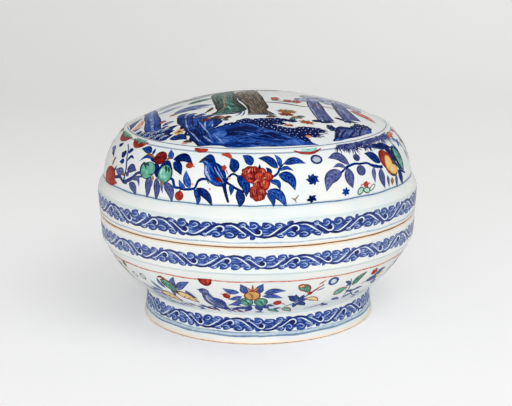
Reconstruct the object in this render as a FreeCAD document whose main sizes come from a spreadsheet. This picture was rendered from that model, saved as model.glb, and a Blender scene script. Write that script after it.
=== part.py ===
"""Round covered box of porcelain: a footed base and a domed lid that lifts off.

Millimetres, +Z up. The origin is at the centre of the foot, on the table.
Both pieces are thrown shells, so each is one section turned about the Z axis.
"""
import FreeCAD, Part
import os
import re

import Sketcher

# Driving sizes, in millimetres and degrees. A radius is measured from the axis.
SIZES = {
    # Upright bands below and above the joint
    "joint_radius": 150.7,
    "joint_edge": 1.0,
    "band_height": 23.7,
    "band_flare": 1.4,
    "band_step_width": 1.3,
    "band_step_height": 1.2,
    "lid_band_flare": 1.1,
    "lid_band_height": 21.5,
    # Bowl between the foot ring and the band
    "bowl_height": 76.8,
    "bowl_spread": 39.7,
    "bowl_curve": 125.0,
    "bowl_wall": 8.0,
    "bowl_foot_cove": 1.5,
    "floor_thickness": 8.5,
    "floor_inset": 8.6,
    "floor_edge": 5.0,
    "cavity_rise": 3.9,
    # Foot ring, flared at the table and hollow underneath
    "foot_flare": 2.9,
    "foot_height": 28.2,
    "foot_curve": 100.0,
    "foot_wall": 8.5,
    "foot_edge": 1.0,
    "recess_depth": 23.5,
    "recess_draft": 2.5,
    "recess_edge": 4.0,
    # Seat: the lid's rim rests on the flat ledge outside the upright lip
    "rim_wall": 5.2,
    "lip_clearance": 1.0,
    "lip_thickness": 3.6,
    "lip_height": 9.0,
    "lip_edge": 1.2,
    # Ledge and shoulder of the lid
    "ledge_width": 5.6,
    "ledge_height": 12.2,
    "ledge_curve": 16.0,
    "ledge_cove": 1.2,
    "shoulder_inset": 21.8,
    "shoulder_height": 44.2,
    "shoulder_curve": 61.5,
    "lid_wall": 7.0,
    # Domed top of the lid and the raised ring round it
    "crown_slope": 34.0,
    "dome_height": 30.3,
    "ring_width": 1.8,
    "ring_height": 0.9,
    "ring_foot": 4.2,
    "ring_depth": 1.0,
    # How far a hollow's outline runs past the face that it opens
    "overrun": 5.0,
}

# Radii, each taken from the joint's, then heights, each taken from the one below
BOWL_RADIUS = "(joint_radius - band_flare - band_step_width)"
WAIST_RADIUS = "(joint_radius - band_flare - band_step_width - bowl_spread)"
FOOT_RADIUS = f"({WAIST_RADIUS} + foot_flare)"
RIM_INNER = "(joint_radius - rim_wall)"
LIP_OUTER = f"({RIM_INNER} - lip_clearance)"
LIP_INNER = f"({LIP_OUTER} - lip_thickness)"
SHOULDER_RADIUS = "(joint_radius + lid_band_flare - ledge_width)"
CROWN_RADIUS = f"({SHOULDER_RADIUS} - shoulder_inset)"
INNER_CROWN = f"({CROWN_RADIUS} - lid_wall * sin(crown_slope * 1 deg))"
FLOOR = "(recess_depth + floor_thickness)"
BAND = "(bowl_height + band_step_height)"
JOINT = f"({BAND} + band_height)"
LIP_TOP = f"({JOINT} + lip_height)"
LID_BAND_TOP = f"({JOINT} + lid_band_height)"
SHOULDER = f"({LID_BAND_TOP} + ledge_height)"
CROWN = f"({SHOULDER} + shoulder_height)"
APEX = f"({CROWN} + dome_height)"
INNER_APEX = f"({APEX} - lid_wall)"
INNER_RISE = "(dome_height - lid_wall + lid_wall * cos(crown_slope * 1 deg))"

OUTWARD = 1
INWARD = -1

# How near two points have to be to count as one, against a radius
TINY_SHARE = 1e-6


def make_sheet(doc):
    """Write the driving sizes into a spreadsheet, one named cell each."""
    sheet = doc.addObject("Spreadsheet::Sheet", "Sizes")
    for row, (name, value) in enumerate(SIZES.items(), start=1):
        sheet.set(f"A{row}", name)
        sheet.set(f"B{row}", str(value))
        sheet.setAlias(f"B{row}", name)
    doc.recompute()


def in_sheet(text):
    """Turn the size names in an expression into references to the sheet."""
    def refer(word):
        name = word.group(0)
        return "Sizes." + name if name in SIZES else name
    return re.sub(r"[a-z_]+", refer, text)


def dome_curve(radius, rise):
    """The radius of a dome whose centre lies on the axis."""
    return f"({radius} ^ 2 + {rise} ^ 2) / (2 * {rise})"


def upright_sketch(body, name):
    """An empty sketch in the XZ plane: across is radius, up is height."""
    sketch = body.newObject("Sketcher::SketchObject", name)
    planes = body.Origin.OriginFeatures
    upright = next(plane for plane in planes if plane.Role == "XZ_Plane")
    sketch.AttachmentSupport = [(upright, "")]
    sketch.MapMode = "FlatFace"
    return sketch


class Section:
    """A closed outline in the XZ plane, each corner tied to the sheet.

    A corner is (radius, height) for a straight line that ends there, or
    (radius, height, curve, side) for an arc of radius curve, where side says
    whether it bulges to the right of the way round, OUTWARD, or the left."""

    def __init__(self, body, name, corners):
        self.sheet = body.Document.Sizes
        self.sketch = upright_sketch(body, name)
        self.draw(corners)

    def value(self, text):
        return float(self.sheet.evalExpression(in_sheet(text)))

    def point(self, corner):
        return FreeCAD.Vector(self.value(corner[0]), self.value(corner[1]), 0)

    def draw(self, corners):
        starts = corners[-1:] + corners[:-1]
        edges = [self.add_edge(*pair) for pair in zip(starts, corners)]
        followers = edges[1:] + edges[:1]
        for (edge, _, finish), (follower, start, _) in zip(edges, followers):
            joined = Sketcher.Constraint("Coincident", edge, finish, follower, start)
            self.sketch.addConstraint(joined)
        for (edge, _, finish), corner in zip(edges, corners):
            self.pin(edge, finish, "DistanceX", corner[0])
            self.pin(edge, finish, "DistanceY", corner[1])
            if len(corner) > 2:
                radius = self.value(corner[2])
                self.bind(Sketcher.Constraint("Radius", edge, radius), corner[2])

    def add_edge(self, before, corner):
        """Add the line or arc that ends at a corner, and name its two ends."""
        start, finish = self.point(before), self.point(corner)
        if len(corner) == 2:
            line = Part.LineSegment(start, finish)
            return self.sketch.addGeometry(line, False), 1, 2
        radius, side = self.value(corner[2]), corner[3]
        span = finish - start
        across = FreeCAD.Vector(span.y, -span.x, 0).normalize() * side
        centre = (start + finish) / 2
        centre -= across * (radius ** 2 - (span.Length / 2) ** 2) ** 0.5
        arc = Part.Arc(start, centre + across * radius, finish)
        edge = self.sketch.addGeometry(arc, False)
        # An arc is kept anticlockwise, so its first end may be either corner
        forward = (self.sketch.getPoint(edge, 1) - start).Length < radius * TINY_SHARE
        return (edge, 1, 2) if forward else (edge, 2, 1)

    def pin(self, edge, end, kind, text):
        """Hold an end at a distance from the origin, or on the axis for 0."""
        if text == "0":
            axis = -2 if kind == "DistanceX" else -1
            rule = Sketcher.Constraint("PointOnObject", edge, end, axis)
            self.sketch.addConstraint(rule)
        else:
            size = self.value(text)
            self.bind(Sketcher.Constraint(kind, -1, 1, edge, end, size), text)

    def bind(self, constraint, text):
        index = self.sketch.addConstraint(constraint)
        self.sketch.setExpression(f"Constraints[{index}]", in_sheet(text))


def turn(body, kind, name, sketch):
    """Turn a sketch about the axis, to add its form or to cut it away."""
    feature = body.newObject("PartDesign::" + kind, name)
    feature.Profile = sketch
    feature.ReferenceAxis = (sketch, ["V_Axis"])
    feature.Angle = 360
    body.Document.recompute()


def turn_outline(body, kind, name, corners):
    turn(body, kind, name, Section(body, name + "_outline", corners).sketch)


def bevel(body, name, size, rings):
    """Bevel the circular edges at the given radii and heights."""
    sheet = body.Document.Sizes
    base = body.Tip
    places = [[float(sheet.evalExpression(in_sheet(text))) for text in ring] for ring in rings]
    names = []
    for index, edge in enumerate(base.Shape.Edges, start=1):
        if not edge.isClosed():
            continue
        point = edge.Vertexes[0].Point
        misses = [abs(point.x - radius) + abs(point.z - height) for radius, height in places]
        if min(misses) < body.Shape.BoundBox.XMax * TINY_SHARE:
            names.append(f"Edge{index}")
    if len(names) != len(rings):
        raise RuntimeError(name + " found " + str(names))
    feature = body.newObject("PartDesign::Chamfer", name)
    feature.Base = (base, names)
    feature.setExpression("Size", in_sheet(size))
    body.Document.recompute()


def make_base(doc):
    """The lower half: foot ring, bowl, upright band, ledge and lip."""
    body = doc.addObject("PartDesign::Body", "base")
    turn_outline(body, "Revolution", "outside", [
        ("0", "0"),
        (FOOT_RADIUS, "0"),
        (WAIST_RADIUS, "foot_height", "foot_curve", INWARD),
        (BOWL_RADIUS, "bowl_height", "bowl_curve", OUTWARD),
        ("joint_radius - band_flare", BAND),
        ("joint_radius", JOINT),
        (LIP_OUTER, JOINT),
        (LIP_OUTER, LIP_TOP),
        ("0", LIP_TOP),
    ])
    bevel(body, "foot_cove", "bowl_foot_cove", [(WAIST_RADIUS, "foot_height")])
    bevel(body, "joint_bevel", "joint_edge", [("joint_radius", JOINT)])
    floor_radius = WAIST_RADIUS + " - floor_inset"
    cavity_top = LIP_TOP + " + overrun"
    turn_outline(body, "Groove", "cavity", [
        ("0", FLOOR),
        (floor_radius, FLOOR),
        (LIP_INNER, "bowl_height + cavity_rise", "bowl_curve - bowl_wall", OUTWARD),
        (LIP_INNER, cavity_top),
        ("0", cavity_top),
    ])
    bevel(body, "floor_bevel", "floor_edge", [(floor_radius, FLOOR)])
    bevel(body, "lip_bevel", "lip_edge", [(LIP_OUTER, LIP_TOP), (LIP_INNER, LIP_TOP)])
    recess_radius = FOOT_RADIUS + " - foot_wall"
    recess_inner = recess_radius + " - recess_draft"
    turn_outline(body, "Groove", "recess", [
        ("0", "0 - overrun"),
        (recess_radius, "0 - overrun"),
        (recess_radius, "0"),
        (recess_inner, "recess_depth"),
        ("0", "recess_depth"),
    ])
    bevel(body, "recess_bevel", "recess_edge", [(recess_inner, "recess_depth")])
    bevel(body, "foot_bevel", "foot_edge", [(FOOT_RADIUS, "0"), (recess_radius, "0")])
    return body


def make_lid(doc):
    """The upper half: upright band, ledge, curved shoulder and domed top."""
    body = doc.addObject("PartDesign::Body", "lid")
    turn_outline(body, "Revolution", "outside", [
        ("0", JOINT),
        ("joint_radius", JOINT),
        ("joint_radius + lid_band_flare", LID_BAND_TOP),
        (SHOULDER_RADIUS, SHOULDER, "ledge_curve", OUTWARD),
        (CROWN_RADIUS, CROWN, "shoulder_curve", OUTWARD),
        ("0", APEX, dome_curve(CROWN_RADIUS, "dome_height"), OUTWARD),
    ])
    bevel(body, "ledge_bevel", "ledge_cove", [(SHOULDER_RADIUS, SHOULDER)])
    bevel(body, "joint_bevel", "joint_edge", [("joint_radius", JOINT)])
    hollow_mouth = JOINT + " - overrun"
    inner_crown_height = INNER_APEX + " - " + INNER_RISE
    turn_outline(body, "Groove", "hollow", [
        ("0", hollow_mouth),
        (RIM_INNER, hollow_mouth),
        (RIM_INNER, LID_BAND_TOP),
        (SHOULDER_RADIUS + " - lid_wall", SHOULDER),
        (INNER_CROWN, inner_crown_height, "shoulder_curve - lid_wall", OUTWARD),
        ("0", INNER_APEX, dome_curve(INNER_CROWN, INNER_RISE), OUTWARD),
    ])
    raise_ring(body)
    return body


def raise_ring(body):
    """The slim raised ring round the domed top: a flat crest with two slopes,
    leaning with the surface where the shoulder meets the dome."""
    def place(outward, above):
        """A corner so far down the slope from the ring's middle, and above it."""
        lean = "crown_slope * 1 deg"
        radius = f"{CROWN_RADIUS} + {outward} * cos({lean}) + {above} * sin({lean})"
        height = f"{CROWN} - {outward} * sin({lean}) + {above} * cos({lean})"
        return radius, height

    turn_outline(body, "Revolution", "crown_ring", [
        place("(ring_foot / 2)", "(0 - ring_depth)"),
        place("(ring_width / 2)", "ring_height"),
        place("(0 - ring_width / 2)", "ring_height"),
        place("(0 - ring_foot / 2)", "(0 - ring_depth)"),
    ])


def check(doc, bodies):
    """Stop if any feature failed or any piece is not one sound solid."""
    for item in doc.Objects:
        if "Invalid" in item.State or "Error" in item.State:
            raise RuntimeError(item.Name + " failed: " + str(item.State))
    for body in bodies:
        shape = body.Shape
        if shape.isNull() or not shape.isValid() or len(shape.Solids) != 1:
            raise RuntimeError(body.Label + " is not one sound solid")


def main():
    doc = FreeCAD.newDocument("covered_box")
    make_sheet(doc)
    bodies = [make_base(doc), make_lid(doc)]
    doc.recompute()
    check(doc, bodies)
    os.makedirs("parts", exist_ok=True)
    for body in bodies:
        body.Shape.exportStep(f"parts/{body.Label}.step")
        print(body.Label, "volume", round(body.Shape.Volume), body.Shape.BoundBox)


main()
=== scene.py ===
"""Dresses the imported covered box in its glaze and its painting, and lights it.

The painting is a thin film of mesh just above the glaze. Each zone of the outside is unrolled
flat, the motifs are drawn on it in millimetres, and the film is then laid back on the surface.
"""
import math

import bpy
import numpy as np
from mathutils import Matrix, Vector
from mathutils.bvhtree import BVHTree


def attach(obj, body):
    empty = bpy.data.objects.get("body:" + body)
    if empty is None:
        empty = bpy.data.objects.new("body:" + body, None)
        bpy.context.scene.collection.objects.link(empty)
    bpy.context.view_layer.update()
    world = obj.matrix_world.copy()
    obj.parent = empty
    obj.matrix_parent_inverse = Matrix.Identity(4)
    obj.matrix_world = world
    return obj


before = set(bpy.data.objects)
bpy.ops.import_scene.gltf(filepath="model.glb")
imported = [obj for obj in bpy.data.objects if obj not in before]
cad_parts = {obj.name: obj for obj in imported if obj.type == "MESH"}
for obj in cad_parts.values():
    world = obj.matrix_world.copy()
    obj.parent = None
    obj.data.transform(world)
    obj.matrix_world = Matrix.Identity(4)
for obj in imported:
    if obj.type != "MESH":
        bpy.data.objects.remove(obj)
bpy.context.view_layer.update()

MM = 0.001

# Heights on the outside, in millimetres above the table
FOOT_TOP = 28.2
BOWL_TOP = 76.0
JOINT = 101.7
SHOULDER_LOW = 135.9
CROWN_TOP = 180.3

# Radii at which the zones are unrolled, so that millimetres across are true there
FOOT_GIRTH = 110.0
BOWL_GIRTH = 135.0
BAND_GIRTH = 150.0
SHOULDER_GIRTH = 146.0
DOME_RADIUS = 123.4
PAINTING_RADIUS = 121.2

# Film: how far each layer lies off the last, and how much each shape lies over the one before
FILM_LIFT = 0.075
SHAPE_LIFT = 0.0025
SHAPES_IN_LAYER = 30

# The bake map of a wall: in how many rows it lies, and the margins at their ends and sides
UV_ROWS = 4
UV_MARGIN = 0.12
UV_INSET = 0.02

# Brush work: the hand's drift in mm and its wavelengths over 2 pi, and where a stroke is widest
DRIFT = 0.4
DRIFT_WAVES = ((9.1, 5.3), (6.7, -8.9))
DRIFT_SHARES = (1.0, 0.7)
BRUSH_SHARES = np.array([-1, -0.6, 0, 0.6, 1])
BRUSH_SHAKE = 0.06

# A leaf: places across it with how much darker or paler they are, and where it is widest
LEAF_ROWS = 29
LEAF_SHARES = np.array([-1, -0.86, -0.62, -0.36, -0.1, 0, 0.1, 0.36, 0.62, 0.86, 1])
LEAF_TONES = np.array([-1, -0.6, 0.1, 0.3, 0, -0.6, 0, 0.3, 0.1, -0.6, -1])
LEAF_BELLY = 0.76
LEAF_POINT = 1.05
LEAF_TIP = 0.06
VEINS = 6
VEIN_SLANT = 1.4

# In how many points the outline of a leaf, a round spot and a brush mark are drawn
EDGE_POINTS = 13
HOOP_POINTS = 17
GRAIN_POINTS = 9

# A line round a whole zone
RING_STEPS = 720
RING_BUMPS = 61

GOLDEN_ANGLE = math.pi * (3 - math.sqrt(5))


# Surfaces

def outline_tree(node):
    """A tree of a solid's faces, in metres, that rays can be shot at."""
    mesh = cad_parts[node].data
    corners = [vertex.co for vertex in mesh.vertices]
    return BVHTree.FromPolygons(corners, [tuple(face.vertices) for face in mesh.polygons])


class Side:
    """A turned wall unrolled: across is mm round it at the girth, up is mm along the outline."""

    # Rays that read the outline: how many, over what turn, from how far in m, and how often in mm
    RAYS = 12
    RAY_SPREAD = 0.11
    FAR = 0.4
    STEP = 0.4

    def __init__(self, node, low, high, girth):
        self.girth = girth
        self.around = 2 * math.pi * girth
        tree = outline_tree(node)
        self.height = np.arange(low, high, self.STEP)
        self.radius = np.array([self.reach(tree, height) for height in self.height])
        steps = np.hypot(np.diff(self.radius), np.diff(self.height))
        self.up = np.concatenate([[0], np.cumsum(steps)])
        slope_out = np.gradient(self.radius, self.up)
        slope_up = np.gradient(self.height, self.up)
        length = np.hypot(slope_out, slope_up)
        self.lean_out = slope_up / length
        self.lean_up = -slope_out / length

    def reach(self, tree, height):
        """The outline's radius in mm: the farthest of a few rays shot at the axis."""
        best = 0.0
        for turn in np.linspace(0, self.RAY_SPREAD, self.RAYS):
            way = Vector((math.sin(turn), -math.cos(turn), 0))
            hit = tree.ray_cast(way * self.FAR + Vector((0, 0, height * MM)), -way)[0]
            if hit is not None:
                best = max(best, math.hypot(hit.x, hit.y) / MM)
        return best

    def up_at(self, height):
        """How far up the outline a height lies."""
        return float(np.interp(height, self.height, self.up))

    def lay(self, points, lift):
        """Points on the flat zone, laid on the surface: places in metres and normals."""
        angle = points[:, 0] / self.girth
        up = points[:, 1]
        out = np.interp(up, self.up, self.lean_out)
        rise = np.interp(up, self.up, self.lean_up)
        radius = np.interp(up, self.up, self.radius) + lift * out
        height = np.interp(up, self.up, self.height) + lift * rise
        sine, cosine = np.sin(angle), -np.cos(angle)
        places = np.stack([radius * sine, radius * cosine, height], 1) * MM
        return places, np.stack([out * sine, out * cosine, rise], 1)

    def unwrap(self, points):
        """Where a shape's points go in the bake map: one of a few rows round the wall."""
        row_length = self.around / UV_ROWS
        row = math.floor(points[:, 0].mean() / row_length)
        across = (points[:, 0] / row_length - row + UV_MARGIN) / (1 + 2 * UV_MARGIN)
        share = UV_INSET + (1 - 2 * UV_INSET) * points[:, 1] / self.up[-1]
        up = (row % UV_ROWS + share) / UV_ROWS
        return np.stack([across, up], 1)


class Dome:
    """The lid's top seen from above: across and up are plan coordinates in mm."""

    # Rays that read the dome: from how high in m, and how often in mm
    FAR = 0.4
    STEP = 1.0

    def __init__(self, node, radius):
        self.reach = radius
        tree = outline_tree(node)
        self.radius = np.arange(0, radius, self.STEP)
        down = Vector((0, 0, -1))
        heights = []
        for distance in self.radius:
            start = Vector((0, -distance * MM, self.FAR))
            heights.append(tree.ray_cast(start, down)[0].z / MM)
        self.height = np.array(heights)
        self.fall = -np.gradient(self.height, self.radius)

    def lay(self, points, lift):
        """Points on the plan, laid on the dome, with none beyond the painting's edge."""
        distance = np.hypot(points[:, 0], points[:, 1])
        points = points * np.minimum(1, PAINTING_RADIUS / np.maximum(distance, self.STEP))[:, None]
        distance = np.minimum(distance, PAINTING_RADIUS)
        fall = np.interp(distance, self.radius, self.fall)
        height = np.interp(distance, self.radius, self.height)
        away = points / np.maximum(distance, self.STEP * MM)[:, None]
        normals = np.column_stack([away * fall[:, None], np.ones(len(points))])
        normals /= np.linalg.norm(normals, axis=1)[:, None]
        places = np.column_stack([points, height]) + normals * lift[:, None]
        return places * MM, normals

    def unwrap(self, points):
        """Where points go in the bake map: the plan itself."""
        return points / (2 * self.reach) + 0.5


# Brush work

def smooth(points, spacing=0.9):
    """A smooth curve through the points, sampled about every spacing mm."""
    points = np.asarray(points, float)
    before = np.vstack([2 * points[0] - points[1], points[:-1]])
    after = np.vstack([points[1:], 2 * points[-1] - points[-2]])
    slopes = (after - before) / 2
    curve = []
    for start, finish, leave, arrive in zip(points, points[1:], slopes, slopes[1:]):
        count = max(3, int(np.linalg.norm(finish - start) / spacing))
        t = np.linspace(0, 1, count, endpoint=False)[:, None]
        curve.append(
            start * (2 * t**3 - 3 * t**2 + 1) + finish * (3 * t**2 - 2 * t**3)
            + leave * (t**3 - 2 * t**2 + t) + arrive * (t**3 - t**2)
        )
    return np.vstack(curve + [points[-1:]])


def resample(curve, count):
    """The curve again, as that many evenly spaced points."""
    steps = np.linalg.norm(np.diff(curve, axis=0), axis=1)
    along = np.concatenate([[0], np.cumsum(steps)])
    wanted = np.linspace(0, along[-1], count)
    return np.column_stack([np.interp(wanted, along, curve[:, i]) for i in (0, 1)])


def side_ways(curve):
    """Unit vectors to the left of a curve's way."""
    ways = np.gradient(curve, axis=0)
    ways /= np.maximum(np.linalg.norm(ways, axis=1), 1e-9)[:, None]
    return np.column_stack([-ways[:, 1], ways[:, 0]])


def unsteady(points):
    """The drift of a painter's hand, so that no two repeats are quite the same."""
    across, up = points[:, 0], points[:, 1]
    drift = [share * np.sin(across / long_wave + up / short_wave)
             for share, (long_wave, short_wave) in zip(DRIFT_SHARES, DRIFT_WAVES)]
    return points + DRIFT * np.column_stack(drift)


def bent(base, tip, bend):
    """A line from base to tip that bows to its left by a share of its length."""
    base, tip = np.array(base, float), np.array(tip, float)
    way = tip - base
    middle = (base + tip) / 2 + np.array([-way[1], way[0]]) * bend
    return [base, middle, tip]


def leaf_halves(along, width):
    """Half a leaf's width at shares of its length, widest nearer its base."""
    return 0.5 * width * np.sin(math.pi * along**LEAF_BELLY) ** LEAF_POINT


def placed(flat, centre, turn):
    """Points about the origin, turned by some degrees and moved to a centre."""
    tilt = math.radians(turn)
    spin = np.array([[math.cos(tilt), math.sin(tilt)], [-math.sin(tilt), math.cos(tilt)]])
    return flat @ spin + np.array(centre, float)


class Film:
    """Painted shapes of one pigment on one zone, gathered into one piece.

    A tone runs from 0, where the pigment lies thick and dark, to 1, a thin wash.
    """

    def __init__(self, surface, layer, shapes, seed):
        self.surface = surface
        self.layer = layer
        self.shapes = shapes
        self.random = np.random.default_rng(seed)
        self.count = 0
        self.points, self.tones, self.lifts, self.quads, self.maps = [], [], [], [], []
        self.move = lambda points: points

    def moved(self, across=0.0, up=0.0, stretch=(1, 1)):
        """Draw what follows somewhere else on the zone; a negative stretch mirrors it."""
        self.move = lambda points: points * stretch + (across, up)
        self.shapes[self.layer] = 0

    def sheet(self, points, tones):
        """Add a sheet of quads from rows x columns of points and their tones."""
        rows, columns = tones.shape
        flat = unsteady(self.move(points.reshape(-1, 2)))
        index = np.arange(rows * columns).reshape(rows, columns)
        quads = np.stack([index[:-1, :-1], index[:-1, 1:], index[1:, 1:], index[1:, :-1]], -1)
        quads = quads.reshape(-1, 4)
        first, second = flat[quads[:, 2]] - flat[quads[:, 0]], flat[quads[:, 3]] - flat[quads[:, 1]]
        inward = first[:, 0] * second[:, 1] - first[:, 1] * second[:, 0] < 0
        quads[inward] = quads[inward][:, ::-1]
        level = self.shapes[self.layer] % SHAPES_IN_LAYER
        lift = FILM_LIFT * (1 + self.layer) + SHAPE_LIFT * level
        self.points.append(flat)
        self.tones.append(tones.ravel())
        self.lifts.append(np.full(len(flat), lift))
        self.quads.append(quads + self.count)
        self.maps.append(self.surface.unwrap(flat))
        self.count += len(flat)
        self.shapes[self.layer] += 1

    def stroke(self, path, widths, tone=0.3, rim=0.2):
        """One brush stroke along a smooth curve, its widths spread evenly along it."""
        curve = smooth(path)
        along = np.linspace(0, 1, len(curve))
        half = np.interp(along, np.linspace(0, 1, len(widths)), widths) / 2
        half *= 1 + BRUSH_SHAKE * self.random.standard_normal(len(curve))
        reach = half[:, None] * BRUSH_SHARES
        points = curve[:, None] + side_ways(curve)[:, None] * reach[..., None]
        tones = tone - rim * np.abs(BRUSH_SHARES) ** 3
        self.sheet(points, np.tile(tones, (len(curve), 1)))

    def leaf(self, base, tip, width, bend=0.1, tone=0.42, rim=0.4):
        """A pointed leaf with a dark edge and vein."""
        curve = resample(smooth(bent(base, tip, bend)), LEAF_ROWS)
        along = np.linspace(0, 1, len(curve))
        reach = (leaf_halves(along, width) + LEAF_TIP)[:, None] * LEAF_SHARES
        aside = np.abs(LEAF_SHARES)
        veins = np.cos(2 * math.pi * (VEINS * along[:, None] - VEIN_SLANT * aside))
        contrast = np.interp(tone, (0.3, 0.6), (0.24, 0.1)) * min(1, width / 6)
        tones = tone + rim * LEAF_TONES + contrast * veins * (1 - aside**2)
        points = curve[:, None] + side_ways(curve)[:, None] * reach[..., None]
        self.sheet(points, tones)

    def edge(self, base, tip, width, bend=0.1, line=0.9, tone=0.2):
        """The outline of a leaf, for a leaf that another pigment fills."""
        curve = resample(smooth(bent(base, tip, bend)), EDGE_POINTS)
        half = leaf_halves(np.linspace(0, 1, len(curve)), width)
        left = side_ways(curve) * half[:, None]
        self.stroke(curve + left, (line,), tone)
        self.stroke(curve - left, (line,), tone)

    def hoop(self, centre, size, line=1.0, turn=0.0, tone=0.2):
        """The outline of a round spot."""
        spoke = np.linspace(0, 2 * math.pi, HOOP_POINTS)
        flat = np.column_stack([np.cos(spoke) * size[0] / 2, np.sin(spoke) * size[1] / 2])
        self.stroke(placed(flat, centre, turn), (line,), tone)

    def grain(self, one_side, other_side, count, tones=(0.0, 0.6), width=1.6):
        """Long brush marks that follow the two sides of an area, to be laid over it."""
        left, right = (resample(smooth(side), GRAIN_POINTS) for side in (one_side, other_side))
        level = self.shapes[self.layer]
        for share in (np.arange(count) + 0.5) / count:
            self.shapes[self.layer] = level
            start = self.random.integers(0, 4)
            finish = self.random.integers(6, GRAIN_POINTS + 1)
            shake = 0.05 * self.random.standard_normal((GRAIN_POINTS, 1))
            path = left + (right - left) * (share + shake)
            tone = tones[self.random.integers(len(tones))]
            widths = (0.3, width * self.random.uniform(0.6, 1.2), 0.3)
            self.stroke(path[start:finish], widths, tone, 0.1)

    def blob(self, centre, size, lobes=0, depth=0.0, turn=0.0, inner=0.5, outer=0.1, spokes=30):
        """A round or lobed spot; size is its width and height, turn tilts it in degrees."""
        spoke = np.linspace(0, 2 * math.pi, spokes + 1)
        ring = np.append(0.03, np.linspace(0.25, 1, max(4, int(max(size) / 3))))[:, None]
        edge = 1 - depth + depth * np.abs(np.cos(spoke * lobes / 2))
        flat = np.stack([np.cos(spoke) * ring * edge * size[0] / 2,
                         np.sin(spoke) * ring * edge * size[1] / 2], -1)
        tones = inner + (outer - inner) * np.repeat(ring**4, spokes + 1, axis=1)
        self.sheet(placed(flat, centre, turn), tones)

    def panel(self, one_side, other_side, tone=0.4, rim=0.3, streaks=0.15, columns=13):
        """A brushed area between two smooth curves, streaked along them."""
        sides = smooth(one_side), smooth(other_side)
        rows = max(len(side) for side in sides)
        left, right = (resample(side, rows) for side in sides)
        share = np.linspace(0, 1, columns)
        points = left[:, None] * (1 - share)[None, :, None] + right[:, None] * share[None, :, None]
        tones = np.tile(tone - rim * np.abs(2 * share - 1) ** 6, (rows, 1))
        tones[[0, -1]] -= rim / 2
        coarse = self.random.standard_normal((max(2, rows // 6), columns))
        place = np.linspace(0, len(coarse) - 1, rows)
        for column in range(columns):
            tones[:, column] += streaks * np.interp(place, np.arange(len(coarse)), coarse[:, column])
        self.sheet(points, tones)

    def ring(self, up, width, tone=0.6, wobble=0.1, wave=0.3):
        """A brushed line all the way round the zone."""
        across = np.linspace(0, self.surface.around, RING_STEPS)
        bumps = self.random.standard_normal(RING_BUMPS)
        bumps[-1] = bumps[0]
        places = np.linspace(0, across[-1], RING_BUMPS)
        half = width / 2 * (1 + wave * np.interp(across, places, bumps) / 2)
        drift = wobble * np.sin(across / 37.0) * np.sin(across / 91.0) * 2
        shares = np.array([-1, -0.5, 0, 0.5, 1])
        points = np.empty((len(across), len(shares), 2))
        points[..., 0] = across[:, None]
        points[..., 1] = up + drift[:, None] + half[:, None] * shares
        tones = tone + 0.25 * np.abs(shares) ** 2
        self.sheet(points, np.tile(tones, (len(across), 1)))

    def build(self, name, body, slot, material):
        """Lay the shapes on the surface as one mesh that rides with the body."""
        points, tones = np.vstack(self.points), np.concatenate(self.tones)
        places, normals = self.surface.lay(points, np.concatenate(self.lifts))
        quads = np.vstack(self.quads)
        mesh = bpy.data.meshes.new(name)
        mesh.from_pydata(places.tolist(), [], quads.tolist())
        mesh.attributes.new("tone", "FLOAT", "POINT").data.foreach_set(
            "value", np.clip(tones, 0, 1).astype(np.float32))
        bake_map = mesh.uv_layers.new(name="OFBake")
        maps = np.vstack(self.maps)[quads.ravel()].astype(np.float32)
        bake_map.data.foreach_set("uv", maps.ravel())
        mesh.shade_smooth()
        mesh.normals_split_custom_set_from_vertices(normals.tolist())
        mesh.materials.append(material)
        piece = bpy.data.objects.new(name, mesh)
        bpy.context.scene.collection.objects.link(piece)
        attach(piece, body)


# Materials

PIGMENT_GLOSS = 0.03
PIGMENT_ROUGHNESS = 0.16
GLAZE_GLOSS = 0.3
GLAZE_ROUGHNESS = 0.13
CLAY_ROUGHNESS = 0.6

# Bluish-green bands, partly glaze pooling and partly painted shade, as heights and reaches; and lines
# on the raised ring, the outer one partly painted shade at the ring's foot, as radii, reaches and strengths
GLAZE_POOLS_AND_SHADE = ((136.6, 2.6), (125.2, 2.4), (77.2, 1.6), (28.6, 2.4))
RING_LINES_AND_SHADE = ((126.4, 0.8, 0.7), (121.9, 0.6, 1.0))
RING_TOP = (175.8, 176.8)

# Bare and burnt clay: reaches above and below the joint, radii of the ledge and of its outer
# edge, and heights over which the foot's burnt glaze and bare edge end
HALO = 2.6
SEAM = 0.7
LEDGE = (142.0, 143.5)
LEDGE_EDGE = (148.6, 149.6)
FOOT_BURN = (1.8, 3.8)
FOOT_EDGE = (0.6, 1.3)

# The cobalt drawn paler and greyer: painted sheen at the left and right, a little greyer on the base and
# less on the foot; places over which it changes, in metres, and the shares at their ends
SIDE_SHEEN = (0.03, 0.14, 0.17, 0.74)
GREYING_BASE = (0.1, 0.103, 0.15, 0.0)
GREYING_FOOT = (0.027, 0.033, -0.12, 0.0)
GREYING_BELOW_SHOULDER = (0.13, 0.14, 1.0, 0.0)


def colour(red, green, blue):
    """A colour as it is seen, 0 to 255 each, as a shader takes it."""
    def straight(value):
        share = value / 255
        return share / 12.92 if share <= 0.04045 else ((share + 0.055) / 1.055) ** 2.4
    return straight(red), straight(green), straight(blue), 1.0


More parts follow.
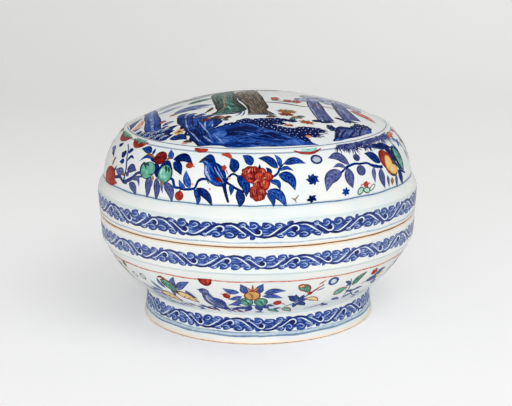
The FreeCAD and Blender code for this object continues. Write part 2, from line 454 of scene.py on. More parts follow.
class Nodes:
    """Short ways of adding shader nodes to a new material."""

    def __init__(self, name, roughness, gloss=0.5):
        self.material = bpy.data.materials.new(name)
        self.material.use_nodes = True
        self.tree = self.material.node_tree
        self.shader = self.tree.nodes["Principled BSDF"]
        self.shader.inputs["Roughness"].default_value = roughness
        self.shader.inputs["Specular IOR Level"].default_value = gloss

    def add(self, kind, **values):
        """A new node of that kind, with these settings."""
        node = self.tree.nodes.new("ShaderNode" + kind)
        for name, value in values.items():
            setattr(node, name, value)
        return node

    def link(self, output, target):
        """Give an input a plain number, or what comes out of another node."""
        if isinstance(output, (int, float)):
            target.default_value = output
        else:
            self.tree.links.new(output, target)

    def place(self):
        """The place on the object, in metres, as its X, Y and Z."""
        parts = self.add("SeparateXYZ")
        self.link(self.add("TexCoord").outputs["Object"], parts.inputs[0])
        return parts.outputs

    def noise(self, scale, detail=3.0, offset=0.0):
        """Noise of that many cells in a metre, about 0.5."""
        place = self.add("TexCoord").outputs["Object"]
        node = self.add("TexNoise")
        node.inputs["Scale"].default_value = scale
        node.inputs["Detail"].default_value = detail
        if offset:
            shift = self.add("VectorMath", operation="ADD")
            shift.inputs[1].default_value = (offset, offset, offset)
            self.link(place, shift.inputs[0])
            place = shift.outputs[0]
        self.link(place, node.inputs["Vector"])
        return node.outputs["Fac"]

    def maths(self, operation, *values):
        """One sum of numbers or outputs."""
        node = self.add("Math", operation=operation)
        for value, socket in zip(values, node.inputs):
            self.link(value, socket)
        return node.outputs[0]

    def spread(self, value, low, high, to_low=0.0, to_high=1.0):
        """Spread a value from one range to another, smoothly and held at the ends."""
        node = self.add("MapRange", interpolation_type="SMOOTHSTEP")
        node.inputs["From Min"].default_value = low
        node.inputs["From Max"].default_value = high
        node.inputs["To Min"].default_value = to_low
        node.inputs["To Max"].default_value = to_high
        self.link(value, node.inputs["Value"])
        return node.outputs["Result"]

    def over(self, value, span, to_low=0.0, to_high=1.0):
        """The same for a span given in millimetres."""
        return self.spread(value, span[0] * MM, span[1] * MM, to_low, to_high)

    def near(self, value, centre, reach):
        """One where a value is near a centre in mm, fading to nothing at the reach."""
        away = self.maths("ABSOLUTE", self.maths("SUBTRACT", value, centre * MM))
        return self.over(away, (reach * 0.45, reach), 1.0, 0.0)

    def mix(self, share, first, second):
        """The first colour, going over to the second as the share goes to one."""
        node = self.add("Mix", data_type="RGBA")
        self.link(share, node.inputs["Factor"])
        for value, socket in zip((first, second), node.inputs[6:8]):
            if isinstance(value, tuple):
                socket.default_value = value
            else:
                self.link(value, socket)
        return node.outputs[2]

    def ramp(self, value, stops):
        """A colour read off a row of stops."""
        node = self.add("ValToRGB")
        elements = node.color_ramp.elements
        while len(elements) < len(stops):
            elements.new(0.5)
        for element, (place, shade) in zip(elements, stops):
            element.position = place
            element.color = shade
        self.link(value, node.inputs["Fac"])
        return node.outputs["Color"]

    def outward(self):
        """One on the outside of a turned piece, and nothing on its inside."""
        place = self.add("TexCoord")
        facing = self.add("VectorMath", operation="DOT_PRODUCT")
        self.link(place.outputs["Object"], facing.inputs[0])
        self.link(place.outputs["Normal"], facing.inputs[1])
        return self.spread(facing.outputs["Value"], 0.0, 0.01)

    def bump(self, height, strength, distance):
        """An uneven surface, by at most that distance in mm."""
        node = self.add("Bump")
        node.inputs["Strength"].default_value = strength
        node.inputs["Distance"].default_value = distance * MM
        self.link(height, node.inputs["Height"])
        self.link(node.outputs["Normal"], self.shader.inputs["Normal"])

    def paint(self, shade):
        """Give the material its colour, and hand it over."""
        self.link(shade, self.shader.inputs["Base Color"])
        return self.material


def grey_and_side_sheen(nodes):
    """How much paler and greyer the cobalt is drawn: painted sheen most at the left and right, a little
    greyer on the base and less on the foot, and only below the shoulder.
    """
    place = nodes.place()
    # Painted sheen: paler and greyer towards the left and right, where the wall turns away
    aside = nodes.spread(nodes.maths("ABSOLUTE", place["X"]), *SIDE_SHEEN)
    base, foot, banded = (nodes.spread(place["Z"], *fade) for fade in (GREYING_BASE, GREYING_FOOT, GREYING_BELOW_SHOULDER))
    share = nodes.maths("ADD", nodes.maths("ADD", aside, base), foot)
    return nodes.maths("MULTIPLY", share, banded)


def shades(*stops):
    """Stops of a ramp, each given as its place and its red, green and blue."""
    return [(place, colour(*parts)) for place, *parts in stops]


def pigment(name, stops, mottle=0.3, greyed_with_sheen=None):
    """A painted colour: its tone, mottled as a wash dries and pools."""
    nodes = Nodes(name, PIGMENT_ROUGHNESS, PIGMENT_GLOSS)
    tone = nodes.add("Attribute", attribute_name="tone").outputs["Fac"]
    cloud = nodes.maths("SUBTRACT", nodes.noise(260, 4), 0.5)
    grain = nodes.maths("SUBTRACT", nodes.noise(1300, 2, 3.7), 0.5)
    uneven = nodes.maths("ADD", nodes.maths("MULTIPLY", cloud, mottle * 2),
                         nodes.maths("MULTIPLY", grain, mottle))
    tone = nodes.maths("ADD", tone, uneven)
    shade = nodes.ramp(tone, stops)
    # Where given, a paler grey ramp is mixed in: painted sheen at the sides, greyer on the base
    if greyed_with_sheen:
        shade = nodes.mix(grey_and_side_sheen(nodes), shade, nodes.ramp(tone, greyed_with_sheen))
    return nodes.paint(shade)


def make_pigments():
    """The painter's colours, each from thick to thin."""
    # The cobalt's paler grey look: painted sheen at the sides, greyer on the base
    grey_blue_with_sheen = shades((0.0, 66, 76, 128), (0.5, 102, 114, 162), (1.0, 196, 206, 222))
    return {
        "blue": pigment("cobalt_blue", shades(
            (0.0, 1, 12, 62), (0.25, 2, 35, 108), (0.5, 14, 70, 160), (0.75, 80, 120, 197),
            (1.0, 190, 206, 235)), mottle=0.4, greyed_with_sheen=grey_blue_with_sheen),
        "slate": pigment("grey_blue_wash", shades(
            (0.0, 44, 50, 104), (0.5, 100, 110, 164), (1.0, 196, 204, 216)), mottle=0.4),
        "wash": pigment("pale_blue_line", shades(
            (0.0, 74, 100, 146), (0.5, 140, 164, 190), (1.0, 208, 224, 230))),
        "red": pigment("iron_red", shades(
            (0.0, 80, 14, 22), (0.4, 158, 42, 34), (0.7, 202, 86, 62), (1.0, 236, 176, 152)), mottle=0.5),
        "green": pigment("green_enamel", shades(
            (0.0, 28, 54, 56), (0.4, 72, 122, 108), (0.7, 112, 190, 164), (1.0, 190, 228, 218)), mottle=0.4),
        "yellow": pigment("yellow_enamel", shades(
            (0.0, 140, 88, 40), (0.5, 202, 150, 80), (1.0, 244, 222, 164))),
        "brown": pigment("brown_enamel", shades(
            (0.0, 30, 22, 22), (0.5, 98, 84, 66), (1.0, 172, 154, 128)), mottle=0.25),
        "gold": pigment("yellow_seeds", shades(
            (0.0, 186, 120, 48), (0.5, 226, 178, 88), (1.0, 244, 224, 168))),
        "white": pigment("reserved_white", shades(
            (0.0, 170, 192, 230), (0.5, 214, 228, 246), (1.0, 240, 246, 250)), mottle=0.1),
    }


def white_glaze(nodes, height):
    """Bluish white, cooler in patches, with bluish-green bands at the hollows and at the band's rounded top:
    partly glaze pooling, partly painted shade.
    """
    cool = nodes.spread(nodes.noise(22, 3), 0.35, 0.7)
    body = nodes.mix(cool, colour(243, 244, 239), colour(233, 240, 240))
    outward = nodes.outward()
    # Bluish-green bands: partly glaze pooling, partly painted shade
    for level, reach in GLAZE_POOLS_AND_SHADE:
        pool_and_shade = nodes.maths("MULTIPLY", nodes.near(height, level, reach), outward)
        body = nodes.mix(nodes.maths("MULTIPLY", pool_and_shade, 0.6), body, colour(204, 222, 224))
    return body


def lined(nodes, body, radius, height):
    """Thin blue lines on the raised ring, the outer one at the ring's foot partly painted shade and pooled
    glaze, and grey specks all over.
    """
    top = nodes.over(height, RING_TOP)
    # The outer line, at the ring's foot, is partly painted shade and pooled glaze
    for reach, width, strength in RING_LINES_AND_SHADE:
        line = nodes.maths("MULTIPLY", nodes.near(radius, reach, width), top)
        body = nodes.mix(nodes.maths("MULTIPLY", line, strength), body, colour(96, 122, 160))
    specks = nodes.spread(nodes.noise(900, 1, 1.3), 0.77, 0.8)
    return nodes.mix(nodes.maths("MULTIPLY", specks, 0.35), body, colour(150, 150, 150))


def burnt_joint(nodes, body, radius, height):
    """Bare clay on the ledge, burnt at its edge, with a warm halo: the colour and how bare it is."""
    ledge = nodes.over(radius, LEDGE)
    halo = nodes.maths("MULTIPLY", nodes.near(height, JOINT, HALO), ledge)
    body = nodes.mix(nodes.maths("MULTIPLY", halo, 0.85), body, colour(246, 222, 192))
    seam = nodes.maths("MULTIPLY", nodes.near(height, JOINT, SEAM), ledge)
    clay = nodes.mix(nodes.over(radius, LEDGE_EDGE), colour(222, 190, 154), colour(134, 92, 58))
    return nodes.mix(seam, body, clay), seam


def burnt_foot(nodes, body, height):
    """Glaze burnt cream low on the foot, over its bare, gritty edge: the colour and how bare it is."""
    body = nodes.mix(nodes.over(height, FOOT_BURN, 0.85, 0.0), body, colour(255, 236, 208))
    edge = nodes.over(height, FOOT_EDGE, 1.0, 0.0)
    grit = nodes.spread(nodes.noise(260, 2, 2.1), 0.35, 0.65)
    clay = nodes.mix(grit, colour(128, 88, 58), colour(206, 160, 116))
    return nodes.mix(nodes.maths("MULTIPLY", edge, 0.9), body, clay), edge


def glaze(name):
    """Bluish white glaze, with bare clay at the joint and the foot."""
    nodes = Nodes(name, GLAZE_ROUGHNESS, GLAZE_GLOSS)
    place = nodes.place()
    squares = [nodes.maths("MULTIPLY", place[axis], place[axis]) for axis in "XY"]
    radius = nodes.maths("SQRT", nodes.maths("ADD", *squares))
    ragged = nodes.maths("MULTIPLY", nodes.maths("SUBTRACT", nodes.noise(60, 3), 0.5), 0.0012)
    height = nodes.maths("ADD", place["Z"], ragged)
    body = white_glaze(nodes, height)
    body = lined(nodes, body, radius, height)
    body, seam = burnt_joint(nodes, body, radius, height)
    body, edge = burnt_foot(nodes, body, height)
    bare = nodes.maths("MAXIMUM", seam, edge)
    rough = nodes.spread(bare, 0.0, 1.0, GLAZE_ROUGHNESS, CLAY_ROUGHNESS)
    nodes.link(rough, nodes.shader.inputs["Roughness"])
    nodes.bump(nodes.noise(70, 2), 0.12, 1.0)
    return nodes.paint(body)


pigments = make_pigments()
for node in ("base", "lid"):
    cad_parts[node].material_slots[0].material = glaze(node + "_glaze")


# Films and where they go

LAYERS = {"wash": 0, "slate": 0, "blue": 0, "green": 1, "yellow": 1,
          "red": 2, "brown": 2, "gold": 3, "white": 3}
SLOTS = {"wash": "cobalt_blue", "slate": "cobalt_blue", "blue": "cobalt_blue",
         "green": "green_enamel", "yellow": "yellow_enamel", "red": "iron_red",
         "brown": "brown_enamel", "gold": "yellow_enamel", "white": "glaze"}


class Films:
    """One film for each pigment on a zone, so that a motif can use several."""

    def __init__(self, surface, seed):
        shapes = dict.fromkeys(LAYERS.values(), 0)
        self.all = {name: Film(surface, layer, shapes, seed + i)
                    for i, (name, layer) in enumerate(LAYERS.items())}
        for name, film in self.all.items():
            setattr(self, name, film)
        self.surface = surface

    def moved(self, **where):
        """Draw what follows somewhere else on the zone, with every pigment."""
        for film in self.all.values():
            film.moved(**where)

    def build(self, zone, body):
        """Make one piece of each pigment that was used."""
        for name, film in self.all.items():
            if film.count:
                film.build(f"{zone}_{name}", body, SLOTS[name], pigments[name])


def leaves(film, *shapes):
    """Several leaves, each given as base, tip, width and then bend and tone."""
    for shape in shapes:
        film.leaf(*shape)


def strokes(film, *shapes):
    """Several strokes, each given as path, widths, tone and perhaps rim."""
    for shape in shapes:
        film.stroke(*shape)


def dashes(film, widths, tone, rim, *ends):
    """Short straight strokes of one kind, each given as its start and its finish."""
    for start, finish in ends:
        film.stroke([start, finish], widths, tone, rim)


def around(centre, size, *shares):
    """Places about a centre, given as shares of a size's width and height."""
    return [(centre[0] + size[0] * across, centre[1] + size[1] * up) for across, up in shares]


def outlined(film, outline, centre, size, turn=0.0, inner=0.7, outer=0.5, line=1.2, tone=0.2):
    """A round spot of one pigment with a line of another round it."""
    film.blob(centre, size, turn=turn, inner=inner, outer=outer)
    outline.hoop(centre, size, line, turn, tone)


def floret(film, centre, reach, count, turn=0.0, tone=0.15):
    """A little flower of narrow petals."""
    for petal in range(count):
        way = math.radians(turn + 360 * petal / count)
        tip = (centre[0] + reach * math.cos(way), centre[1] + 0.8 * reach * math.sin(way))
        film.leaf(centre, tip, reach * 0.55, 0.1, tone, 0.2)
    film.blob(centre, (reach * 0.7, reach * 0.6), inner=0.0, outer=0.1, spokes=12)


def edged_leaf(film, outline, base, tip, width, tone=0.6, line=1.0, line_tone=0.2):
    """A leaf of one pigment with an outline of another."""
    film.leaf(base, tip, width, 0.1, tone, 0.1)
    outline.edge(base, tip, width, 0.1, line, line_tone)


# Motifs round the lid's shoulder, from the left of the photograph to its right

def hanging_blossom(films, across, width):
    """A green blossom that hangs from the ring over a red crescent with two red petals."""
    films.green.blob((across, 51), (width * 0.8, 13), lobes=5, depth=0.15, inner=0.6, outer=0.2)
    crescent = [(across + width * share, up) for share, up in (
        (-0.5, 49.5), (-0.3, 45.5), (0, 43.8), (0.3, 45.5), (0.5, 49.5))]
    films.red.stroke(crescent, (1.5, 4, 5, 4, 1.5), tone=0.42)
    for side in (-1, 1):
        base, tip = (across + side * width * 0.1, 44), (across + side * width * 0.16, 50)
        films.red.leaf(base, tip, 3.4, 0.1, 0.2)


def paint_peach_and_sprig(films):
    """A brown-red peach on its branch and a blue sprig, under two hanging blossoms."""
    blue, slate, red, yellow = films.blue, films.slate, films.red, films.yellow
    red.blob((-173, 8), (30, 19), inner=0.45, outer=0.2, turn=8)
    yellow.stroke([(-171, 26), (-172, 19)], (4.5, 3), tone=0.05)
    red.leaf((-165, 2), (-152, 5), 4.5)
    red.grain([(-184, 4), (-184, 14)], [(-162, 3), (-162, 14)], 6, (0.05, 0.6), 1.6)
    slate.stroke([(-171, 15), (-164, 11), (-158, 10), (-148, 11.5), (-141, 9), (-134, 9)],
                 (3, 3, 2.6), tone=0.1)
    blue.stroke([(-140, 9), (-141, 20), (-147, 30), (-153, 38), (-161, 42)], (2.2, 1.8, 1.2))
    leaves(blue,
           ((-152, 34), (-162, 33), 7.5, 0.1, 0.1), ((-150, 35), (-142, 39), 5.5, 0.1, 0.3),
           ((-149, 25), (-158, 25), 5, -0.1, 0.3), ((-145, 27), (-134, 31), 3.2, 0.3, 0.3),
           ((-170, 13), (-160, 21), 4, -0.2, 0.1), ((-171, 40), (-181, 38), 4.5, 0.1, 0.15),
           ((-189, 28), (-176, 25), 3.2, 0.1, 0.2))
    leaves(slate,
           ((-139, 20), (-124, 22), 8, 0.12, 0.1), ((-143, 17), (-160, 17), 8, 0.05, 0.3),
           ((-139, 17), (-134, 15), 5, 0.1, 0.2), ((-181, 29), (-199, 31), 6, -0.1, 0.3))
    yellow.blob((-143, 15), (4.5, 3), inner=0.1, outer=0.0)
    hanging_blossom(films, -183, 40)
    hanging_blossom(films, -141, 27)


def paint_fruit_cluster(films):
    """A red and two green fruits in a rosette of leaves."""
    blue, slate, red, green, yellow = films.blue, films.slate, films.red, films.green, films.yellow
    strokes(slate,
            ([(-140, 8.5), (-130, 13.5), (-122, 20), (-114, 21.5)], (3.6, 3.2, 2.2), 0.1),
            ([(-131, 12), (-122, 16.5), (-110, 18.5)], (2.2, 2.2, 1.4), 0.15))
    blue.stroke([(-82, 21.5), (-78, 19.5), (-75, 13.8), (-69, 13.5)], (2.6, 2.6, 2.0), tone=0.35)
    leaves(blue,
           ((-114, 41), (-131, 42), 7, -0.08, 0.3), ((-111, 39), (-112, 46), 3.6, 0.0, 0.4),
           ((-108, 36), (-124.5, 30.5), 3.6, -0.2, 0.35), ((-84, 38), (-91, 47), 6.5, 0.1, 0.5),
           ((-83, 37.5), (-61, 35.5), 8, 0.2, 0.1), ((-82, 35), (-70, 24.5), 8.5, 0.12, 0.2),
           ((-103, 32), (-96, 19), 7, 0.05, 0.15), ((-96, 29.5), (-81, 29), 5, 0.28, 0.15),
           ((-112, 36), (-100, 31), 4.5, 0.1, 0.2), ((-95, 30), (-94, 18), 7, 0.0, 0.15))
    leaves(slate,
           ((-107, 18), (-105.5, 0), 7.5, 0.1, 0.2), ((-103, 18), (-100.5, 10), 4, 0.1, 0.2),
           ((-96, 19), (-94.5, -0.6), 7.5, 0.1, 0.15), ((-90, 18), (-86.5, 7), 2.6, 0.0, 0.2),
           ((-87, 17), (-76, -0.4), 8, 0.15, 0.2), ((-127, 14), (-116, 8.5), 4, 0.35, 0.3),
           ((-131, 10), (-119, -0.4), 7.5, 0.15, 0.25))
    outlined(green, blue, (-109, 24.5), (17.5, 15), inner=0.68, outer=0.5, line=1, tone=0.15)
    outlined(green, blue, (-88, 24), (14, 15), inner=0.72, outer=0.5, line=1, tone=0.15)
    strokes(green,
            ([(-93, 28), (-92, 23), (-90, 19)], (1.5, 3, 1.2), 0.95),
            ([(-106, 21), (-101, 21)], (1.2, 1.2), 0.3))
    leaves(green,
           ((-118, 31), (-111, 25), 2.6, 0.1, 0.0), ((-114, 31), (-109, 28), 2.6, 0.1, 0.0),
           ((-90, 31), (-87, 24), 2.6, 0.1, 0.0), ((-86, 30), (-84, 25), 2.6, 0.1, 0.0))
    strokes(blue,
            ([(-117, 31), (-119, 26), (-116, 20), (-109, 17), (-102, 18.5)], (1.6, 2, 1.4), 0.1),
            ([(-82, 30), (-80.5, 24), (-83, 18.5), (-90, 16.3)], (1.4, 1.6, 1.2), 0.15))
    red.blob((-99, 37.5), (15.5, 13), inner=0.2, outer=0.05)
    red.stroke([(-106, 38), (-99, 37), (-92, 38)], (1, 2.2, 1), tone=0.0)
    strokes(yellow,
            ([(-119, 39), (-113, 38.5), (-106, 36.5)], (1.6, 2.2, 1.4), 0.0),
            ([(-91, 36.5), (-86, 38.5)], (2.2, 1.4), 0.05))
    yellow.blob((-100, 18), (3, 4), inner=0.3)
    yellow.blob((-88, 16), (2.4, 4.5), inner=0.1)


def paint_bird(films):
    """A bird perched on a branch with a red fruit, looking left."""
    blue, brown, red = films.blue, films.brown, films.red
    blue.stroke([(-70, 13), (-65, 12.5), (-58, 13.5), (-55, 15), (-52, 21), (-47, 23), (-41, 22)],
                (2.2, 2.2, 2.0, 2.4, 1.6), tone=0.25)
    leaves(blue,
           ((-60, 14), (-66, 29.5), 7.5, 0.08, 0.55), ((-64.5, 13), (-72, 21), 4.2, 0.12, 0.5),
           ((-56, 14), (-52.3, -0.6), 5.5, 0.15, 0.35), ((-54, 14.5), (-38.8, -0.4), 7.5, 0.16, 0.15))
    breast = [(-55.8, 37), (-51.5, 36.8), (-49.5, 33), (-48, 27), (-43, 21.5), (-37, 18), (-30, 17)]
    back = [(-55.8, 37.4), (-51.5, 43), (-46, 46), (-41.2, 42.5), (-37, 35), (-31.5, 28), (-27, 20)]
    blue.panel(breast, back, tone=0.5, rim=0.35)
    blue.stroke([(-48.4, 35), (-46.6, 29), (-41.5, 22.5)], (1.4, 3.2, 1), tone=0.95, rim=0.3)
    blue.blob((-45.6, 41.5), (9, 8), inner=0.3, outer=0.08)
    brown.stroke([(-55.8, 37.2), (-52.5, 40), (-48.5, 42.5)], (0.7, 3, 1.4), tone=0.15)
    blue.leaf((-43.5, 38), (-27, 18), 8.5, 0.1, 0.22, 0.3)
    dashes(blue, (0.4, 1.1, 0.4), 0.85, 0.1,
           ((-40, 34), (-34, 26)), ((-38, 36), (-30.5, 25)), ((-36, 30), (-29.5, 20.5)))
    blue.stroke([(-29.5, 20), (-27, 12), (-24.3, 3.8)], (3.6, 2.8, 2.2), tone=0.15)
    brown.stroke([(-44, 21.5), (-42, 19.5)], (1, 0.6))
    red.leaf((-38, 24.5), (-30.5, 20.5), 3.6, 0.1, 0.0)
    for place in ((-41, 15), (-25, 24.5), (-58, 17.5)):
        red.blob(place, (2.4, 2.2), lobes=5, depth=0.2, inner=1.0, outer=1.0)
    red.blob((-69.5, 6.5), (8.2, 8.2), inner=0.5, outer=0.35)
    red.stroke([(-69.5, 10), (-69.3, 12)], (2, 0.8))
    red.blob((-63.8, 34), (7.5, 5.4), inner=0.55, outer=0.45)
    red.stroke([(-60, 33.5), (-58, 32.5)], (1.2, 0.5), tone=0.8)
    red.blob((-57, 50.2), (16, 6.4), lobes=7, depth=0.12, inner=0.5, outer=0.4)


def peony_head(blue, red):
    """The crowded petals of a red peony, with dark folds and pale lights between them."""
    red.blob((-4, 28.5), (21, 14.5), lobes=9, depth=0.13, turn=-8, inner=0.4, outer=0.15)
    red.blob((3.5, 22.5), (16.5, 19), lobes=9, depth=0.12, turn=10, inner=0.4, outer=0.15)
    red.blob((0.3, 12.5), (15.5, 14.5), lobes=7, depth=0.14, inner=0.4, outer=0.15)
    for across, up in ((-9, 30), (-3, 32), (4, 30), (9, 26), (-6, 25), (2, 26), (7, 20), (0, 20),
                       (4, 14), (-3, 14), (2, 8.5)):
        size = 7 + 2.4 * math.sin(across * up)
        red.blob((across, up), (size + 1.2, size), lobes=4, depth=0.14, turn=across * 40,
                 inner=0.66, outer=0.0)
        for shift in (-1.4, 0, 1.4):
            vein = [(across + shift, up - 2), (across + shift * 1.6, up + 2)]
            red.stroke(vein, (0.4, 0.9, 0.4), tone=0.2)
    folds = (((-3.5, 34), (-2.5, 28)), ((-10, 31), (-4, 29)), ((-1, 17), (-0.5, 9)), ((-8, 25), (-2, 24)),
             ((10, 21), (6, 20)), ((4, 14), (5, 7)), ((-5, 14), (-4, 9)))
    dashes(blue, (0.6, 1.5, 0.5), 0.0, 0.1, *folds)
    dashes(red, (0.5, 1.4, 0.4), 0.0, 0.1, *folds)
    dashes(red, (0.5, 1.5, 0.5), 0.95, 0.1,
           ((-8, 29), (-6, 33)), ((3, 18), (7, 16)), ((-3, 21), (1, 24)), ((5, 24), (8, 26)))


def paint_peony(films):
    """A red peony in full bloom, with leaves on both sides."""
    blue, red = films.blue, films.red
    strokes(blue,
            ([(-28, 19.5), (-26.5, 24.5), (-22, 28.5), (-17, 26), (-13, 22)], (2.4, 2, 2, 1.6), 0.15),
            ([(-27, 21), (-19, 16), (-12, 13.5), (-6, 14.5)], (2.2, 2, 2.2), 0.1),
            ([(10, 26), (15, 26.8), (18.5, 30), (20, 33.5), (25.5, 38)], (1.4, 2.2, 2, 0.9), 0.3))
    leaves(blue,
           ((-20.5, 29.5), (-25, 44), 9.5, -0.12, 0.25), ((-18, 27), (-9.5, 9), 9.5, 0.16, 0.3),
           ((-24, 19.5), (-22.5, 9.5), 4, 0.1, 0.3), ((-17.5, 14.5), (-15, -0.5), 7.5, 0.15, 0.25),
           ((-5, 36), (-14.5, 46.5), 8, -0.12, 0.35), ((2, 30), (2, 37.5), 2.8, 0.0, 0.1),
           ((10.5, 27), (7.5, 34.5), 4.6, -0.2, 0.2), ((18.5, 33.5), (0.3, 43), 8, -0.16, 0.3),
           ((20.5, 34.5), (17, 47), 5, -0.16, 0.5), ((25, 37.2), (46, 36.2), 7, 0.14, 0.35),
           ((19.5, 31.5), (33, 30), 3.6, 0.2, 0.4), ((18.5, 28), (32.8, 13.5), 9.5, 0.2, 0.35),
           ((11, 22.5), (20.2, 13.8), 4.8, 0.25, 0.5), ((8.5, 14.3), (24.8, -0.5), 9, 0.16, 0.4),
           ((8, 12.5), (13.2, -0.5), 5.4, 0.14, 0.35))
    peony_head(blue, red)
    red.stroke([(-24.3, 43), (-28, 46), (-34.5, 46.2)], (2, 4.6, 1.2), tone=0.6)
    red.blob((-30.4, 34), (5.2, 5.2), lobes=5, depth=0.3, inner=0.5, outer=0.4)
    red.stroke([(-28.5, 32), (-26, 28)], (1.2, 0.6), tone=0.75)
    dashes(films.brown, (1.2, 0.9, 0.3), 0.75, 0.2,
           ((32.3, 6), (29.5, 7.5)), ((32.3, 6), (33.5, 3)), ((32.3, 6), (36, 10)))


def paint_florets(films):
    """A ringed dot and two small blue florets, under a hanging blossom."""
    blue, red, green = films.blue, films.red, films.green
    green.panel([(45, 48), (53, 47.4), (61, 49.2)], [(44, 50.5), (53, 50), (62, 51)], tone=0.85)
    red.stroke([(36.5, 49.6), (44, 46.4), (53, 45.8), (60, 47.4), (66, 50)], (1.2, 2.4, 2.6, 2.2, 1.2),
               tone=0.45)
    films.slate.blob((57, 39.6), (10, 7.2), inner=1.0, outer=0.2)
    blue.hoop((57, 39.6), (10.4, 7.4), 1.6, tone=0.2)
    floret(blue, (49.5, 22), 6.6, 7, turn=20, tone=0.3)
    floret(blue, (47, 5.4), 5, 5, turn=40, tone=0.1)


def paint_berry_branch(films):
    """A branch with two blue berries, and a bee below it."""
    blue, slate, red, green, brown = films.blue, films.slate, films.red, films.green, films.brown
    leaves(slate,
           ((90, 31), (69, 39.6), 9, -0.2, 0.22), ((85, 28.8), (71, 30), 3.8, -0.15, 0.3),
           ((79.5, 25), (60.5, 10), 11.5, -0.2, 0.28), ((86.5, 28.5), (88.5, 10), 10, -0.06, 0.24))
    slate.blob((102, 36.3), (8.2, 7), inner=0.1, outer=0.0)
    slate.blob((101.5, 24), (11.2, 9.8), inner=0.25, outer=0.0)
    blue.stroke([(78, 24.5), (85, 28.6), (90, 30), (97, 31), (103, 30), (112, 29), (118, 26), (131, 22.5)],
                (1.6, 2.2, 2, 2.4, 2.8), tone=0.3)
    blue.blob((80.5, 8.3), (9, 7.6), lobes=6, depth=0.5, turn=15, inner=0.35, outer=0.6)
    for centre, size, turn in (((96.6, 6.4), (7.4, 5), 35), ((104, 6), (7.4, 4.4), -10)):
        outlined(green, brown, centre, size, turn, inner=0.9, outer=0.8, line=0.9, tone=0.5)
    brown.hoop((110.5, 7.4), (8.4, 3.2), 0.8, turn=30, tone=0.6)
    red.blob((103.5, 11), (6.5, 5.6), lobes=5, depth=0.25, inner=0.5, outer=0.45)
    red.stroke([(97, 11), (101, 11.5)], (0.8, 1.4), tone=0.7)
    red.stroke([(105, 12), (108.5, 11)], (1.4, 0.7), tone=0.7)


def paint_pine(films):
    """Fans of pine needles that hang from the ring, on a dark branch."""
    blue, slate = films.blue, films.slate
    slate.panel([(84, 50.5), (100, 46), (120, 46), (140, 46), (160, 48), (177, 50.5)],
                [(84, 51), (100, 51), (120, 51), (140, 51), (160, 51), (177, 51)], tone=0.3, streaks=0.4)
    for across, reach in ((88, 9), (95, 8), (103, 10), (111, 7), (120, 9), (129, 9), (138, 7), (148, 6),
                          (157, 8), (166, 8), (173, 7)):
        up = 51 - blue.random.uniform(0, 3)
        slate.blob((across, up - 1), (8, 5), lobes=7, depth=0.25, inner=0.3, outer=0.1)
        for needle in np.linspace(200, 340, 13):
            turn = math.radians(needle + blue.random.uniform(-9, 9))
            length = reach * blue.random.uniform(0.7, 1.5)
            tip = (across + length * math.cos(turn), up + length * math.sin(turn))
            brush = blue if blue.random.uniform() < 0.25 else slate
            brush.stroke([(across, up), tip], (1.4, 1.1, 0.3), tone=blue.random.uniform(0.0, 0.45))
    blue.stroke([(108, 47), (118, 44), (128, 43.4), (138, 43.6), (147, 41), (154, 38.5), (165, 35)],
                (1, 1.8, 2.6, 2.8, 2.4, 1.6), tone=0.12)
    dashes(blue, (1.4, 1.3, 0.4), 0.2, 0.2,
           ((121, 44), (117, 40)), ((127, 43.4), (124, 38.5)), ((133, 43.6), (131, 39)),
           ((139, 43.6), (143, 39)), ((146, 41.5), (150, 44)))
    films.red.leaf((178, 47), (190, 43), 6, 0.1, 0.6)
    slate.leaf((179, 41), (192, 37), 5, 0.1, 0.5)
    slate.leaf((192, 36), (198, 27), 4.4, 0.1, 0.5)
    films.green.leaf((197, 27), (200, 16), 4, 0.1, 0.3)


def paint_pomegranate(films):
    """A split pomegranate, red outside and yellow within, with leaves round it."""
    blue, red, green, yellow, brown = films.blue, films.red, films.green, films.yellow, films.brown
    blue.stroke([(113, 28.8), (118, 25.5), (124, 24), (132, 23)], (2, 2.6, 2.4), tone=0.35)
    leaves(blue,
           ((131, 27), (113.5, 38.5), 9.5, -0.05, 0.25), ((157, 15), (164, -0.5), 8, 0.06, 0.2),
           ((152, 21), (165, 33), 9, 0.1, 0.2), ((157, 24), (146, 41), 9, -0.16, 0.15),
           ((150, 37), (124, 42.5), 5, -0.08, 0.3), ((136, 42), (163, 36), 5, 0.1, 0.05),
           ((184, 33), (197, 38), 5, 0.1, 0.6), ((176, 30), (171, 40), 4, 0.1, 0.5))
    leaves(films.slate,
           ((119.5, 24), (115.5, 10.5), 5.4, -0.1, 0.35), ((128, 22), (128.5, 3.5), 9, -0.08, 0.2),
           ((136, 14), (135.5, 3), 4.2, 0.0, 0.3), ((151, 12), (150.5, -0.5), 5, 0.0, 0.25))
    yellow.leaf((143, 10.5), (141.5, 3.5), 5.5, 0.0, 0.1)
    blue.stroke([(156, 22), (163, 14), (174, 9)], (3, 2.4, 1.4), tone=0.25)
    blue.panel([(161, 36), (158, 28), (161, 18), (169, 12)], [(168, 37), (176, 30), (176, 20), (171, 12)],
               tone=0.1)
    green.panel([(164, 34), (161.5, 27), (164, 19), (169, 13.5)],
                [(168, 35), (173.5, 28), (174, 20), (170.5, 13.5)], tone=0.55, streaks=0.2)
    green.grain([(164, 32), (163, 24), (168, 15)], [(169, 32), (173, 24), (171, 15)], 5, (0.2, 0.9), 1.2)
    red.blob((141.5, 28), (21.5, 18.5), turn=-30, inner=0.45, outer=0.2)
    brown.blob((146.5, 19.4), (21, 16), turn=-32, inner=0.3, outer=0.3)
    red.blob((143.5, 23.4), (15.5, 19), turn=-12, inner=0.5, outer=0.4)
    for centre, size in (((143.2, 24), (12, 15)), ((148.2, 17.3), (15, 9))):
        brown.blob(centre, (size[0] + 1.2, size[1] + 1.2), turn=-12, inner=0.6, outer=0.45)
        films.gold.blob(centre, size, turn=-12, inner=0.75, outer=0.4)
    red.stroke([(175, 44), (184, 47), (197, 45.5)], (1.5, 5, 1.5), tone=0.75)


